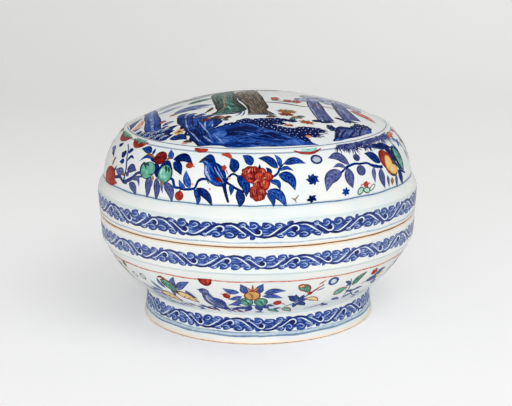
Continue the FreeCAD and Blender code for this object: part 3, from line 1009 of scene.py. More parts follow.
# Scroll bands

WAVE_PERIOD = 62.8
WAVE_HEIGHT = 14.6
WAVE_LOBES = ((-18.4, -4.9, 8.6, 5), (-9, -3.9, 10.4, 7.2), (2.2, -4.1, 11.6, 6.8), (12.8, -4.5, 9.8, 5.8),
              (20.8, -5.8, 6, 3.2))
WAVE_SPREAD = (0.05, 0.06, 0.1, 0.12)
WAVE_CURLED = 7
# Painted sheen: how much paler the scrolls are drawn at the left and right sides
SCROLL_SIDE_SHEEN = 0.22


def paint_wave(films, tone):
    """One wave of the scroll: a crest with dark lobes under it, cut by pale curls and gaps."""
    blue, white = films.blue, films.white
    blue.panel([(-25, -5), (-13, 2.5), (-4, 6), (4, 5.8), (13, 2.2), (25, -5)],
               [(-24, -6.2), (-13, -5.4), (-4, -5), (5, -4.8), (15, -5.2), (25, -6.2)],
               tone=tone + 0.25, rim=0.15, streaks=0.25)
    varied_lobes = WAVE_LOBES * blue.random.normal(1, WAVE_SPREAD, (5, 4))
    for across, up, width, height in varied_lobes:
        turn = blue.random.normal(0, 9)
        blue.blob((across, up), (width, height), turn=turn, inner=tone + 0.15, outer=tone)
        if width > WAVE_CURLED:
            curl = around((across, up), (width, height),
                          (-0.3, 0.2), (-0.02, 0.3), (0.27, 0.02), (0.08, -0.2), (-0.1, -0.02))
            white.stroke(curl, (0.2, 0.9, 0.9, 0.7, 0.2), tone=0.0, rim=0.1)
    blue.blob((-6, 0.8), (5, 5), inner=0.0, outer=0.05)
    blue.blob((6.2, 0.6), (6, 4.4), inner=tone + 0.3, outer=tone - 0.1)
    strokes(blue,
            ([(4, 1.4), (6.4, 2.2), (8.4, 0.4), (6.6, -1), (5.2, 0.2)], (0.4, 1, 1, 0.4), tone - 0.2),
            ([(-7, 5.2), (0, 6.3), (8, 4.8), (13.5, 1), (18.5, -2.6), (24, -5)],
             (1.2, 2, 2.2, 2, 1.8, 1), tone - 0.15))
    strokes(white,
            ([(-21, -5), (-16, -2.4), (-11.6, 1), (-8.4, 3.3), (-5.2, 3.8), (-3, 2.1), (-3.2, -0.4),
              (-4.8, -1.3)], (0.2, 0.8, 0.7, 1.2, 1.3, 0.4), 0.8),
            ([(-1.5, 4.4), (3, 4.5), (7, 2.6), (11, -0.3), (15.5, -3.4)], (0.2, 0.8, 1.4, 1, 0.2), 0.85))
    for across, width in ((-14, 2.6), (-3.4, 3), (7.6, 2.6), (17.4, 2.2)):
        width *= blue.random.uniform(0.6, 1.6)
        gap = [(across, -8), (across + 0.3, -6.2), (across + 1.2, -4.4)]
        white.stroke(gap, (width, width * 0.6, 0.2), tone=0.95, rim=0.0)


def paint_scroll(films, low, high, periods, crest, tone):
    """A scroll of waves round a zone, between two heights, with one crest at the place given.

    The waves are drawn paler at the two sides than at the front and the back, as painted sheen where the
    wall turns away.
    """
    period = films.surface.around / periods
    middle = (low + high) / 2
    wider, taller = period / WAVE_PERIOD, (high - low) / WAVE_HEIGHT
    half = WAVE_PERIOD / 2
    for number in range(2 * periods):
        here = crest + number * period / 2
        # Painted sheen: paler towards the left and right sides
        side_sheen_share = math.sin(2 * math.pi * here / films.surface.around) ** 4
        tone_with_sheen = tone + SCROLL_SIDE_SHEEN * side_sheen_share
        hanging = 1 if number % 2 == 0 else -1
        films.moved(across=here, up=middle, stretch=(wider, taller * hanging))
        paint_wave(films, tone_with_sheen)
        to_next_wave = [(-half, -5.8), (-22, -3.6), (-11, 3.4), (-6, 5.4)]
        films.blue.stroke(to_next_wave, (1.4, 1.6, 2, 1.2), tone=tone_with_sheen - 0.05)
    films.moved()


# The bowl, from the left of the photograph to its right

def paint_bowl_pomegranate(films):
    """A green pomegranate over two yellow fruits, with leaves round them and low plants below."""
    blue, red, green, yellow, slate = films.blue, films.red, films.green, films.yellow, films.slate
    films.brown.leaf((-140, 46), (-136, 56), 5, 0.1, 0.5)
    blue.hoop((-129, 40), (7, 6.4), 1.2, tone=0.6)
    films.brown.hoop((-115.5, 42), (6, 7), 1, tone=0.6)
    leaves(blue,
           ((-97, 28), (-106.5, 41), 5, 0.1, 0.5), ((-91, 33), (-93.5, 47), 5.4, 0.1, 0.5),
           ((-77.5, 35), (-73.5, 53), 6.4, 0.1, 0.45), ((-75, 34.5), (-59, 50), 7, 0.1, 0.5),
           ((-67, 36.5), (-58, 25), 5.4, -0.1, 0.45), ((-97, 21), (-126, 17), 6, 0.06, 0.65),
           ((-100, 26), (-115, 30), 5, 0.1, 0.6), ((-84, 34), (-86, 22), 4, 0.1, 0.4))
    slate.blob((-108, 14), (26, 9), lobes=5, depth=0.2, inner=0.95, outer=0.8)
    edged_leaf(yellow, red, (-102, 24), (-80.5, 14.5), 9.5, 0.85, 1.2)
    edged_leaf(yellow, red, (-80, 30.5), (-59.5, 18), 10.5, 0.85, 1.2)
    dashes(red, (0.5, 0.9, 0.5), 0.55, 0.2,
           ((-96, 18.5), (-91, 22.5)), ((-92, 17), (-87, 20.5)),
           ((-75, 23.5), (-70, 27.5)), ((-71, 21.5), (-66, 25.5)))
    edged_leaf(green, red, (-89, 46), (-78.5, 28), 11.5, 0.5, 1.2)
    red.stroke([(-92, 48), (-88, 49.5), (-84, 47), (-82, 44)], (1, 2.6, 2, 0.8), tone=0.4)
    for across, up in ((-128, 27), (-122, 23), (-116, 24), (-119, 9), (-110, 6),
                       (-101, 8), (-92, 6), (-84, 9), (-75, 11), (-67, 8)):
        blue.leaf((across, up), (across + 8, up - 3.5), 3, 0.15, 0.55)
        slate.stroke([(across - 3, up + 2), (across, up)], (0.5, 1.2, 0.6), tone=0.3)
    blue.stroke([(-126, 4), (-108, 2), (-90, 3.5), (-72, 3)], (0.6, 1.4, 1.2, 0.6), tone=0.55)
    red.stroke([(-78, 8), (-72, 6)], (0.6, 1.4, 0.6), tone=0.5)


def paint_bowl_bird(films):
    """A long-tailed bird, looking left, under a red semicircle."""
    blue, red, slate = films.blue, films.red, films.slate
    red.panel([(-49, 56), (-47.5, 50), (-44, 47.6)], [(-38, 56), (-39.5, 50), (-43, 47.6)], tone=0.45)
    red.stroke([(-49, 56), (-47.6, 50), (-43.5, 47.4), (-39.4, 50), (-38, 56)], (1.2, 1.4, 1.2), tone=0.2)
    slate.panel([(-51, 36), (-51, 27), (-48.6, 18.6), (-41, 11), (-33, 8)],
                [(-44, 37), (-41.6, 31.6), (-37.6, 27), (-31.5, 19), (-29, 11)], tone=0.4, rim=0.3)
    slate.blob((-48.4, 38.4), (9.6, 9), inner=0.45, outer=0.2)
    blue.stroke([(-55, 40.4), (-52, 40.2), (-49, 39.6)], (0.5, 1.8, 1), tone=0.2)
    blue.blob((-49.4, 40), (1.4, 1.4), inner=0.0, outer=0.0, spokes=10)
    blue.leaf((-43, 30), (-31, 14), 7.5, 0.12, 0.35, 0.2)
    blue.stroke([(-51, 36), (-51, 27), (-48.6, 18.6), (-41, 11)], (0.6, 1.1, 0.7), tone=0.3)
    slate.stroke([(-48, 32), (-47, 25), (-43, 19)], (1.2, 2, 0.8), tone=0.95)
    blue.stroke([(-34, 14), (-29, 8), (-23, 3)], (4, 2.8, 1.2), tone=0.4)
    blue.stroke([(-37, 12), (-33, 7), (-29, 2)], (2.2, 1.6, 0.8), tone=0.5)
    leaves(blue,
           ((-62, 12), (-53, 9), 3.4, 0.1, 0.35), ((-56, 9), (-46, 4.5), 3.6, 0.1, 0.35),
           ((-66, 2), (-57, 4), 3, 0.1, 0.5), ((-47.5, 12.5), (-42.5, 2), 3.8, 0.1, 0.4),
           ((-38, 10.6), (-29, 10), 3, 0.1, 0.4), ((-28, 20), (-16, 17), 3.8, 0.1, 0.35),
           ((-24, 11), (-15, 15), 3.4, 0.1, 0.4), ((-22, 6), (-14, 3), 3, 0.1, 0.4))
    blue.stroke([(-62, 8), (-52, 11), (-44, 12.5), (-34, 11), (-24, 13), (-14, 17)], (1, 1.6, 1.2), tone=0.3)
    red.leaf((-52, 8), (-45, 6), 2.6, 0.1, 0.5)
    red.blob((-28, 35), (7, 8), inner=0.5, outer=0.3)
    dashes(red, (1.2, 0.6), 0.5, 0.2, ((-28, 34), (-33, 38)), ((-28, 34), (-23.5, 38)))


def paint_bowl_melon(films):
    """A yellow fruit with a three-pointed crown, over green leaves."""
    blue, red, green, yellow = films.blue, films.red, films.green, films.yellow
    leaves(blue,
           ((-16, 40.5), (-30, 45.5), 7, 0.1, 0.5), ((-14, 35), (-28.5, 29.5), 6, 0.1, 0.5),
           ((-12, 39), (-15, 52), 7, -0.1, 0.45), ((-13, 30), (-30, 18), 6.4, 0.08, 0.5),
           ((0.5, 39), (4.6, 52), 7, 0.1, 0.45), ((4.8, 38.5), (24.5, 42), 7, 0.12, 0.5),
           ((3.5, 35), (22, 31), 6, 0.1, 0.5), ((-8, 19), (-14.5, 6), 6.4, 0.1, 0.35),
           ((-3, 19), (2.6, 6), 7, 0.1, 0.3), ((0, 19), (12, 11.5), 5.4, 0.1, 0.4),
           ((-9, 17), (-22, 13), 5, 0.1, 0.45), ((8, 18), (17, 17), 3.6, 0.1, 0.4))
    for across in (-10.6, 2.8):
        outlined(green, blue, (across, 25.5), (11.6, 12.5), inner=0.6, outer=0.35, line=1.3, tone=0.1)
        green.stroke([(across - 3, 29), (across, 26), (across + 2, 21)], (0.8, 1.8, 0.8), tone=0.15)
        green.stroke([(across + 1, 29), (across + 3, 25)], (0.6, 1.4, 0.6), tone=0.9)
    outlined(yellow, red, (-5, 36), (13, 13), inner=0.55, outer=0.75, line=1.3, tone=0.35)
    yellow.stroke([(-8, 40), (-5, 35), (-5, 30)], (0.8, 2, 0.8), tone=0.25)
    for tip in ((-9.4, 47.4), (-4.6, 50.6), (-0.4, 47.2)):
        yellow.stroke([(-5, 41.5), ((tip[0] - 5) / 2, 44), tip], (2.8, 2.6, 1), tone=0.6)
        red.stroke([(-5, 42.5), ((tip[0] - 5) / 2, 45), tip], (1, 0.9, 0.5), tone=0.4)
    blue.stroke([(-24, 12), (-14, 16), (-5, 19.5), (4, 19), (14, 22)], (1, 1.6, 1.2), tone=0.3)
    edged_leaf(green, films.brown, (9.5, 10), (21.5, 4), 5, 0.6, 0.8)
    edged_leaf(green, red, (24.5, 12), (35.5, 3), 6.4, 0.65, 0.9, 0.4)
    leaves(blue, ((-27, 8), (-18, 11), 3.4, 0.1, 0.35), ((15, 10), (24, 13), 3.4, 0.1, 0.4),
           ((-4, 5), (6, 3), 3, 0.1, 0.45))
    red.stroke([(-24, 9), (-16, 8)], (0.5, 1.4, 0.5), tone=0.6)
    red.blob((18, 23.5), (7.6, 7.6), inner=0.5, outer=0.3)
    red.stroke([(22, 22), (26, 19)], (1, 0.6), tone=0.6)


def paint_bowl_sprays(films):
    """Sprays of narrow leaves, red buds and a ringed blue dot."""
    blue, red, green, brown, yellow = films.blue, films.red, films.green, films.brown, films.yellow
    leaves(blue,
           ((34.5, 23), (26, 34), 8, -0.12, 0.2), ((37, 26), (34, 35.5), 5.4, 0.1, 0.35),
           ((37, 25), (42, 34), 5.4, -0.1, 0.3), ((38, 23), (48, 26), 5, 0.1, 0.35),
           ((36, 21), (47.5, 13.5), 7, 0.12, 0.25), ((34, 20), (36, 12), 5, 0.1, 0.3))
    blue.stroke([(26, 15), (33, 20), (38, 25), (47, 34), (57, 46)], (1, 1.6, 1.2, 0.7), tone=0.3)
    blue.stroke([(53, 38), (59, 41)], (0.8, 1.4, 0.6), tone=0.3)
    edged_leaf(green, red, (34.5, 47), (46, 36), 8, 0.5, 1, 0.45)
    edged_leaf(yellow, red, (34, 47.5), (40, 45), 4, 0.8, 0.8, 0.5)
    edged_leaf(yellow, red, (45.5, 27.5), (60, 20), 6, 0.95, 0.9, 0.45)
    green.stroke([(49, 25), (54, 22.5)], (0.6, 2, 0.6), tone=0.7)
    red.blob((47, 35), (4.6, 4.6), inner=0.4, outer=0.3)
    red.stroke([(48, 36), (53, 42), (57, 45)], (1.4, 1.6, 0.6), tone=0.55)
    red.stroke([(52, 46), (58, 51)], (0.5, 1.6, 0.5), tone=0.7)
    films.wash.blob((66, 48), (8, 8), inner=1.0, outer=0.95)
    blue.hoop((66, 48), (8.2, 8.2), 2.4, tone=0.45)
    blue.stroke([(50, 4), (60, 8), (72, 10)], (0.6, 1.2, 0.8), tone=0.35)
    leaves(blue, ((69, 7), (80, 6), 4, 0.1, 0.3), ((66, 9), (72, 12), 3, 0.1, 0.35),
           ((88, 26), (100, 25), 3.6, 0.1, 0.3), ((96, 24), (112, 27), 4.4, 0.1, 0.4),
           ((91, 15.5), (104, 19), 4.4, 0.1, 0.4), ((80, 44), (88, 36), 3.4, 0.1, 0.35),
           ((97, 41), (91, 37), 3.4, 0.1, 0.3), ((83, 36), (90, 38), 3, 0.1, 0.3),
           ((76, 18), (88, 14), 4.6, 0.1, 0.5), ((106, 18), (118, 14), 4.6, 0.1, 0.45),
           ((109, 36), (127, 33), 8, 0.1, 0.25), ((118, 40), (132, 46), 7, 0.1, 0.35),
           ((122, 30), (134, 24), 6, 0.1, 0.5), ((112, 8), (122, 4), 4.6, 0.1, 0.5))
    blue.stroke([(85, 46), (89, 36), (90, 24), (92, 15)], (0.8, 1.4, 1.2, 0.8), tone=0.25)
    blue.stroke([(86, 30), (96, 24), (106, 15), (118, 10)], (1, 1.4, 0.8), tone=0.35)
    blue.stroke([(105, 33), (114, 38), (122, 47)], (0.8, 1.3, 0.7), tone=0.3)
    edged_leaf(green, red, (74, 26), (86, 34), 9, 0.6, 0.9, 0.4)
    edged_leaf(green, brown, (91.5, 36), (100.5, 50.5), 6.6, 0.5, 0.9, 0.4)
    edged_leaf(yellow, blue, (124, 38), (135, 36), 6, 0.9, 0.9, 0.4)
    for tip in ((109.5, 51), (113.5, 52), (117.5, 49.5)):
        red.leaf((114, 43), tip, 4.4, 0.05, 0.5)


# The lid's top seen from above, with its front edge at the bottom

def foliage(films, *masses):
    """Pine foliage: dark lobed masses speckled with white; each is centre, size and turn."""
    for centre, (width, height), turn in masses:
        lobes = max(5, int((width + height) / 3.2))
        films.blue.blob(centre, (width, height), lobes=lobes, depth=0.22, turn=turn, inner=0.12, outer=0.0,
                        spokes=lobes * 6)
        count = int(width * height / 17)
        for spot in range(1, count):
            way = spot * GOLDEN_ANGLE
            reach = 0.44 * math.sqrt(spot / count)
            place = (centre[0] + width * reach * math.cos(way), centre[1] + height * reach * math.sin(way))
            size = films.white.random.uniform(0.5, 1.2, 2)
            films.white.blob(place, size, inner=0.5, outer=0.1, spokes=8)


def foam(films, *curls):
    """Curls of foam: dark blobs, each with two white arcs that roll over in it."""
    for centre, size in curls:
        films.blue.blob(centre, (size, size * 0.9), lobes=5, depth=0.12, inner=0.3, outer=0.05)
        for share in (0.85, 0.45):
            arc = around(centre, (size / 2, size / 2),
                         (-share, -0.5 * share), (-0.7 * share, 0.5 * share), (0.2, 0.75 * share),
                         (0.9 * share, 0.1))
            films.white.stroke(arc, (0.2, 0.8, 0.7, 0.2), tone=0.5)


def spiky_flower(petals, heart, centre, reach, count, tone=0.3):
    """A flower of pointed petals round a heart of another pigment."""
    for petal in range(count):
        turn = 2 * math.pi * (petal + 0.3) / count
        tip = (centre[0] + reach[0] * math.cos(turn), centre[1] + reach[1] * math.sin(turn))
        petals.leaf(centre, tip, min(reach) * 0.7, 0.05, tone, 0.2)
    heart.blob(centre, (reach[0] * 0.6, reach[1] * 0.6), inner=0.4, outer=0.2, spokes=12)


def paint_waterfall(films):
    """A fall of water at the left, with curls of foam at its foot and a red cliff beside it."""
    blue, red, slate = films.blue, films.red, films.slate
    left = [(-109, 26), (-107, 3), (-104, -27), (-102, -51), (-99, -66)]
    right = [(-97, 24), (-95, 2), (-90, -27), (-87, -47), (-85, -68)]
    blue.panel(left, right, tone=0.42, rim=0.3, streaks=0.12)
    blue.grain(left, right, 6, (0.15, 0.25, 0.6))
    blue.stroke([(-101, 18), (-98, -20), (-95, -48), (-92, -66)], (2, 4.4, 4, 1.6), tone=0.78, rim=0.15)
    foam(films, ((-108, -52), 9), ((-104, -60), 11), ((-98, -65), 12), ((-92, -69), 12), ((-86, -69), 11),
         ((-81, -71), 10), ((-95, -75), 11), ((-88, -79), 12), ((-82, -83), 10))
    slate.panel([(-117, -33), (-119, -20), (-119, -10), (-110, -4)],
                [(-117, -34), (-113, -22), (-110, -12), (-107, -6)], tone=0.1, streaks=0.2)
    red.panel([(-114, -36), (-109, -24), (-106, -16)], [(-113, -42), (-106, -34), (-105, -22)], tone=1.0)
    films.green.leaf((-113, -42), (-107, -32), 4, 0.1, 0.8)
    blue.leaf((-112, -44), (-105, -40), 3.4, 0.1, 0.3)


def paint_left_flowers(films):
    """Small flowers and leaves between the waterfall and the rocks."""
    blue, red, yellow = films.blue, films.red, films.yellow
    leaves(blue,
           ((-85, -58), (-74, -56), 6, 0.1, 0.3), ((-82, -72), (-69, -67), 6, 0.1, 0.2),
           ((-83, -78), (-73, -75), 6.5, 0.1, 0.15), ((-82, -84), (-74, -82), 6, 0.1, 0.1),
           ((-77, -87), (-61, -97), 9, 0.14, 0.25), ((-86, -64), (-78, -63), 4, 0.1, 0.3))
    blue.stroke([(-82, -57), (-79, -56.5), (-76.5, -57)], (0.6, 1.8, 0.6), tone=1.0, rim=0.0)
    blue.stroke([(-72, -66), (-77, -74), (-79, -82)], (1.5, 2.4, 1.2), tone=0.15)
    spiky_flower(yellow, films.brown, (-69, -80), (5.4, 6.4), 5, tone=0.75)
    red.stroke([(-73, -82), (-69, -80), (-65, -83)], (0.8, 1, 0.6), tone=0.5)
    yellow.leaf((-80, -39), (-72, -38), 4.6, 0.1, 0.2)
    red.leaf((-89, -48), (-82, -50), 5, 0.1, 0.4)
    red.blob((-62, -101), (7, 5), lobes=5, depth=0.3, inner=0.9, outer=0.8)
    films.brown.leaf((-64, -99), (-56, -103), 3.6, 0.1, 0.2)


def paint_front_rocks(films):
    """Dark rocks at the front, and the mound that the pines grow on."""
    blue = films.blue
    first = [(-71, -50), (-69, -62), (-67, -72), (-64, -79), (-60, -90), (-57, -98), (-53, -105),
             (-49, -110.5)]
    cleft = [(-58, -58), (-56.5, -70), (-55, -79), (-51, -87), (-50, -96), (-45, -106), (-40, -112.5)]
    second = [(-30, -76), (-34, -83), (-43, -91), (-41, -100), (-36, -108), (-31, -115)]
    crest = [(-43.5, -91), (-37, -87.5), (-30, -84.5), (-15, -83.5), (-2, -88), (7, -95), (20, -100.5),
             (37, -104), (53, -108.8)]
    foot = [(-42, -96), (-38, -106), (-31, -115), (-19, -117.8), (-5, -118.9), (9, -118.8), (25, -116.6),
            (40, -112.8), (54, -109.2)]
    for left, right, tone, marks in ((first, cleft, 0.3, 7), (cleft, second, 0.42, 9),
                                     (crest, foot, 0.4, 26)):
        blue.panel(left, right, tone=tone, rim=0.12, streaks=0.16, columns=17)
        blue.grain(left, right, marks, (0.05, 0.15, 0.55, 0.68), 2)
    for centre, size in (((-16, -96), (34, 17)), ((8, -105), (26, 12)), ((-54, -92), (9, 22))):
        blue.blob(centre, size, turn=14, inner=0.02, outer=0.34)
    for centre, size in (((-33, -98), (15, 13)), ((-27, -108), (20, 9)), ((34, -109), (24, 7))):
        blue.blob(centre, size, turn=14, inner=0.66, outer=0.45)
    blue.grain(crest[1:7], foot[1:7], 12, (0.0, 0.3, 0.5, 0.62), 1.6)
    dashes(blue, (0.5, 1.8, 0.6), 0.85, 0.1,
           ((-51, -72), (-41, -97)), ((-46, -72), (-45, -85)), ((-39, -77), (-39, -84)),
           ((-64, -60), (-60, -84)), ((-60, -84), (-50, -104)), ((-38, -97), (-29, -113)),
           ((-47, -97), (-38, -110)))
    for across, up, width in ((-68, -50.5, 8), (-60, -55, 9), (-52, -61, 9), (-44, -67, 8), (-36, -71.5, 8)):
        blue.blob((across, up), (width, 7), lobes=5, depth=0.2, inner=0.45, outer=0.15)
        films.slate.leaf((across - 5, up + 3), (across + 7, up + 4), 5, 0.1, 0.2)
    left_edge = [(-72, -49), (-70, -62), (-66, -70), (-67, -76), (-62, -82), (-63, -88), (-58, -92),
                 (-58, -98), (-54, -102), (-49, -111)]
    strokes(blue,
            (left_edge, (2, 3, 2.6, 2), 0.0), (cleft, (0.8, 1.6, 1.8, 0.8), 0.0),
            (second[1:], (1.4, 1.8, 1), 0.0), (crest[:5], (1.4, 1.4, 0.8), 0.0))
    paint_pines(films)


def paint_pines(films):
    """The pines on the mound: a dark band of foliage that ends in fans of needles."""
    blue = films.blue
    blue.panel([(-20, -81), (-10, -75), (-2, -78), (4, -76), (14, -74), (25, -74), (33, -76)],
               [(-19, -83), (-9, -85), (0, -89), (8, -88), (15, -85), (23, -80), (33, -78)], tone=0.05)
    blue.panel([(0, -86), (10, -84), (20, -88), (30, -90), (40, -85), (51, -83), (60, -85)],
               [(2, -92), (11, -98), (21, -102), (33, -104), (43, -99), (51, -93), (60, -87)], tone=0.05)
    foliage(films, ((-12, -80), (17, 9), 10), ((4, -80), (18, 10), 0), ((18, -77), (19, 8), 5),
            ((29, -77), (12, 6), -10), ((8, -88), (18, 10), -20), ((20, -93), (18, 10), -25),
            ((31, -96), (18, 12), -25), ((42, -89), (17, 10), 10), ((53, -86), (13, 8), 10),
            ((48, -95), (14, 8), -20), ((41, -103), (12, 7), -20), ((-24, -83), (12, 5), 0),
            ((20, -83.5), (12, 6), 0))
    fans = (((48, -87), (62, -83), (63, -86), (62, -89.5)),
            ((46, -94), (58, -92), (59, -95.5), (56, -98)),
            ((36, -102), (47, -104), (48, -107), (44, -108.5)),
            ((26, -76), (35, -74.5), (36, -77)))
    for root, *tips in fans:
        for tip in tips:
            blue.stroke([root, tip], (2, 2.2, 0.6), tone=0.08)


def paint_green_rock(films):
    """The tall green rock on the crown of the lid, with brown lines down it."""
    green, brown = films.green, films.brown
    left = [(-34, 19), (-40, 14), (-43, 2), (-41, -12), (-39, -28), (-37, -44), (-35, -54), (-41, -60.5)]
    right = [(-30, 20), (-23, 15), (-21, 4), (-20, -17), (-17, -34), (-12, -49), (-10, -56), (-15, -62)]
    left_of_ridge = [(-32, 14), (-32, 2), (-31, -17), (-30, -34), (-30, -49), (-33, -55), (-36, -61)]
    right_of_ridge = [(-26, 14), (-24, 4), (-23, -17), (-21, -34), (-19, -49), (-17, -56), (-22, -62)]
    green.panel(left, right, tone=0.2, rim=0.2, streaks=0.2, columns=19)
    green.grain(left, right, 8, (0.05, 0.35), 2.4)
    brown.grain(left, right, 4, (0.0, 0.1), 0.7)
    brown.grain(left, left_of_ridge, 3, (0.3, 0.6), 1.1)
    brown.grain(right_of_ridge, right, 5, (0.0, 0.1), 1.2)
    brown.stroke([(-30, 6), (-30, -10), (-30, -35), (-30, -49), (-34, -56)], (1, 1.6, 1.2), tone=0.85)
    for side in (left, right):
        brown.stroke(side, (1, 1.6, 1.2), tone=0.05)


def paint_brown_rock(films):
    """The brown rock beside the green one, with holes and pale lines in it."""
    brown = films.brown
    left = [(-12, 17), (-18, 12), (-19, -6), (-16, -27), (-12, -38), (-8.4, -53), (-7, -66.5)]
    right = [(-7, 18), (-1, 12), (1, 0), (4, -14), (6, -32), (10.5, -50), (8, -58), (15, -66.5)]
    brown.panel(left, right, tone=0.5, rim=0.4, streaks=0.25, columns=17)
    brown.grain(left, right, 15, (0.0, 0.2, 0.7), 1.5)
    films.yellow.grain(left, right, 5, (0.0, 0.1), 0.9)
    for centre, size in (((-6, -22), (7, 12)), ((0, -38), (7, 12)), ((-3, -52), (6, 9)), ((4, -56), (5, 8))):
        brown.blob(centre, size, lobes=4, depth=0.15, inner=0.7, outer=0.1)
        brown.blob(centre, (size[0] * 0.3, size[1] * 0.3), inner=0.0, outer=0.2, spokes=10)
    for side in (left, right):
        brown.stroke(side, (0.8, 1.4, 1), tone=0.0)


def paint_small_flowers(films):
    """Small flowers of every colour at the foot of the two rocks."""
    red, green, yellow, brown = films.red, films.green, films.yellow, films.brown
    spiky_flower(yellow, green, (27, -58), (10, 5), 9, tone=0.15)
    spiky_flower(red, brown, (26, -65), (8, 4), 7, tone=0.35)
    spiky_flower(red, films.gold, (28, -86), (5, 2.4), 6, tone=0.4)
    spiky_flower(yellow, red, (44, -76), (8, 4), 7, tone=0.1)
    spiky_flower(yellow, green, (36, -69), (6, 3.6), 6, tone=0.2)
    leaves(green,
           ((8, -73), (18, -71), 4, 0.1, 0.3), ((36, -68), (44, -66), 4, 0.1, 0.3),
           ((34, -71), (28, -73), 4, 0.1, 0.3))
    red.leaf((10, -72), (16, -73), 2.4, 0.1, 0.3)
    red.blob((45, -99), (6, 4), lobes=5, depth=0.25, inner=0.9, outer=0.7)
    for across, up, pigment, tone in ((-49, -69, brown, 0.3), (-45, -70, red, 0.3), (-42, -67, yellow, 0.3),
                                      (-39, -70, brown, 0.1), (-36, -68, red, 0.1), (-33, -71, green, 0.3),
                                      (-31, -68.5, yellow, 0.4), (-28, -71, red, 0.1),
                                      (-25, -69.5, brown, 0.1), (-34, -74, brown, 0.05),
                                      (-28, -74.5, green, 0.2)):
        pigment.blob((across, up), (6.4, 3.6), lobes=4, depth=0.3, turn=across, inner=tone, outer=tone * 0.4)
    brown.stroke([(-57, -62), (-50, -60), (-43, -62)], (0.6, 1.2, 0.5), tone=0.7)


def paint_garden(films):
    """Green and brown rocks on the crown of the lid, with grass and flowers before them."""
    blue = films.blue
    paint_green_rock(films)
    paint_brown_rock(films)
    blue.stroke([(-42, -61.5), (-28, -62.8), (-13, -63)], (1.2, 2.4, 1), tone=0.1)
    blue.stroke([(-8, -68), (3, -67.5), (17, -68)], (1, 2.4, 1), tone=0.15)
    films.brown.leaf((-40, -42), (-47, -54), 4, 0.1, 0.3)
    for start, finish in (((-13, -58), (-19, -69)), ((-11, -60), (-14, -70)), ((-42, -46), (-52, -54))):
        bend = ((start[0] + finish[0]) / 2 + 1, (start[1] + finish[1]) / 2 - 2)
        blue.stroke([start, bend, finish], (0.6, 1.5, 0.5), tone=0.4)
    paint_small_flowers(films)


def paint_mist(films):
    """Banks of mist with a green slope and a red shore, across the middle of the lid's top."""
    red, brown, slate = films.red, films.brown, films.slate
    for base, tip, width, tone in (((-76, -34), (-41, -33), 14, 0.5), ((-92, -20), (-68, -14), 8, 0.7),
                                   ((-95, 0), (-66, 14), 10, 0.8), ((-70, 6), (-40, 16), 12, 0.8)):
        slate.leaf(base, tip, width, 0.06, tone, 0.3)
    films.green.leaf((-64, -15), (-40, -8), 10, 0.1, 0.35, 0.2)
    brown.grain([(-62, -12), (-52, -8), (-42, -7)], [(-62, -16), (-52, -16), (-42, -12)], 3, (0.1, 0.4), 1.2)
    brown.grain([(-88, 8), (-70, 14), (-44, 16)], [(-88, 4), (-70, 6), (-44, 8)], 4, (0.6, 0.8), 1.4)
    slate.stroke([(-76, -40), (-66, -37), (-56, -39), (-44, -38)], (0.6, 2, 1.6, 0.6), tone=0.1)
    slate.stroke([(5, -36), (21, -37.5), (39, -40), (48, -38)], (1.2, 2.6, 2.2, 1), tone=0.15)
    for centre, size in (((17, -24), (9, 12)), ((29, -28), (10, 7)), ((37, -28), (9, 8))):
        red.blob(centre, size, lobes=5, depth=0.25, inner=0.65, outer=0.3)
    brown.stroke([(13, -30), (24, -32), (38, -33)], (0.6, 1.4, 0.6), tone=0.2)


def paint_two_trees(films):
    """Two trunks under one pale crown of leaves, right of the middle."""
    blue, slate = films.blue, films.slate
    trunks = (([(46, -12), (46, -22), (48, -38), (50, -53), (55, -67.5)],
               [(55, -6), (57, -14), (60, -30), (63, -45), (68.5, -62)]),
              ([(70, -4), (71, -16), (72, -30), (74, -40), (79, -52)],
               [(79, 2), (81, -4), (84, -15), (89, -28), (94.5, -41)]))
    for left, right in trunks:
        slate.panel(left, right, tone=0.35, rim=0.4, streaks=0.2)
        slate.grain(left, right, 5, (0.1, 0.2, 0.75), 1.8)
        for side in (left, right):
            blue.stroke(side, (0.8, 1.3, 1), tone=0.15)
    crown = (((42, -17), (18, 13)), ((54, -9), (20, 14)), ((67, -7), (20, 14)), ((80, -1), (20, 15)),
             ((92, -1), (18, 14)), ((49, 3), (22, 14)), ((64, 8), (24, 16)), ((80, 11), (22, 14)))
    for centre, (width, height) in crown:
        slate.blob(centre, (width, height), lobes=9, depth=0.1, turn=centre[0], inner=0.85, outer=0.35)
        for step in range(7):
            across = centre[0] + width * 0.3 * math.cos(step * 0.9)
            up = centre[1] + height * 0.3 * math.sin(step * 0.9)
            slate.stroke([(across, up), (across + 2.4, up + 2)], (0.5, 1.1, 0.4), tone=0.2)
    leaves(blue,
           ((49, -72), (61, -69), 4.4, 0.1, 0.1), ((58, -71), (70, -63.5), 4.6, 0.1, 0.1),
           ((70, -53), (82, -55), 4.2, 0.1, 0.1), ((79, -57), (92, -48), 4.6, 0.1, 0.1),
           ((56, -66), (58, -72), 3, 0.0, 0.1), ((82, -50), (85, -57), 3, 0.0, 0.1))
    films.red.stroke([(51, -31), (61, -29), (76, -26)], (1, 1.6, 0.8), tone=0.5)
    films.red.leaf((87, -15), (110, -27), 12, 0.1, 0.7)


def paint_middle(films):
    """The mist and the trees across the middle, in one run of shapes."""
    paint_mist(films)
    paint_two_trees(films)


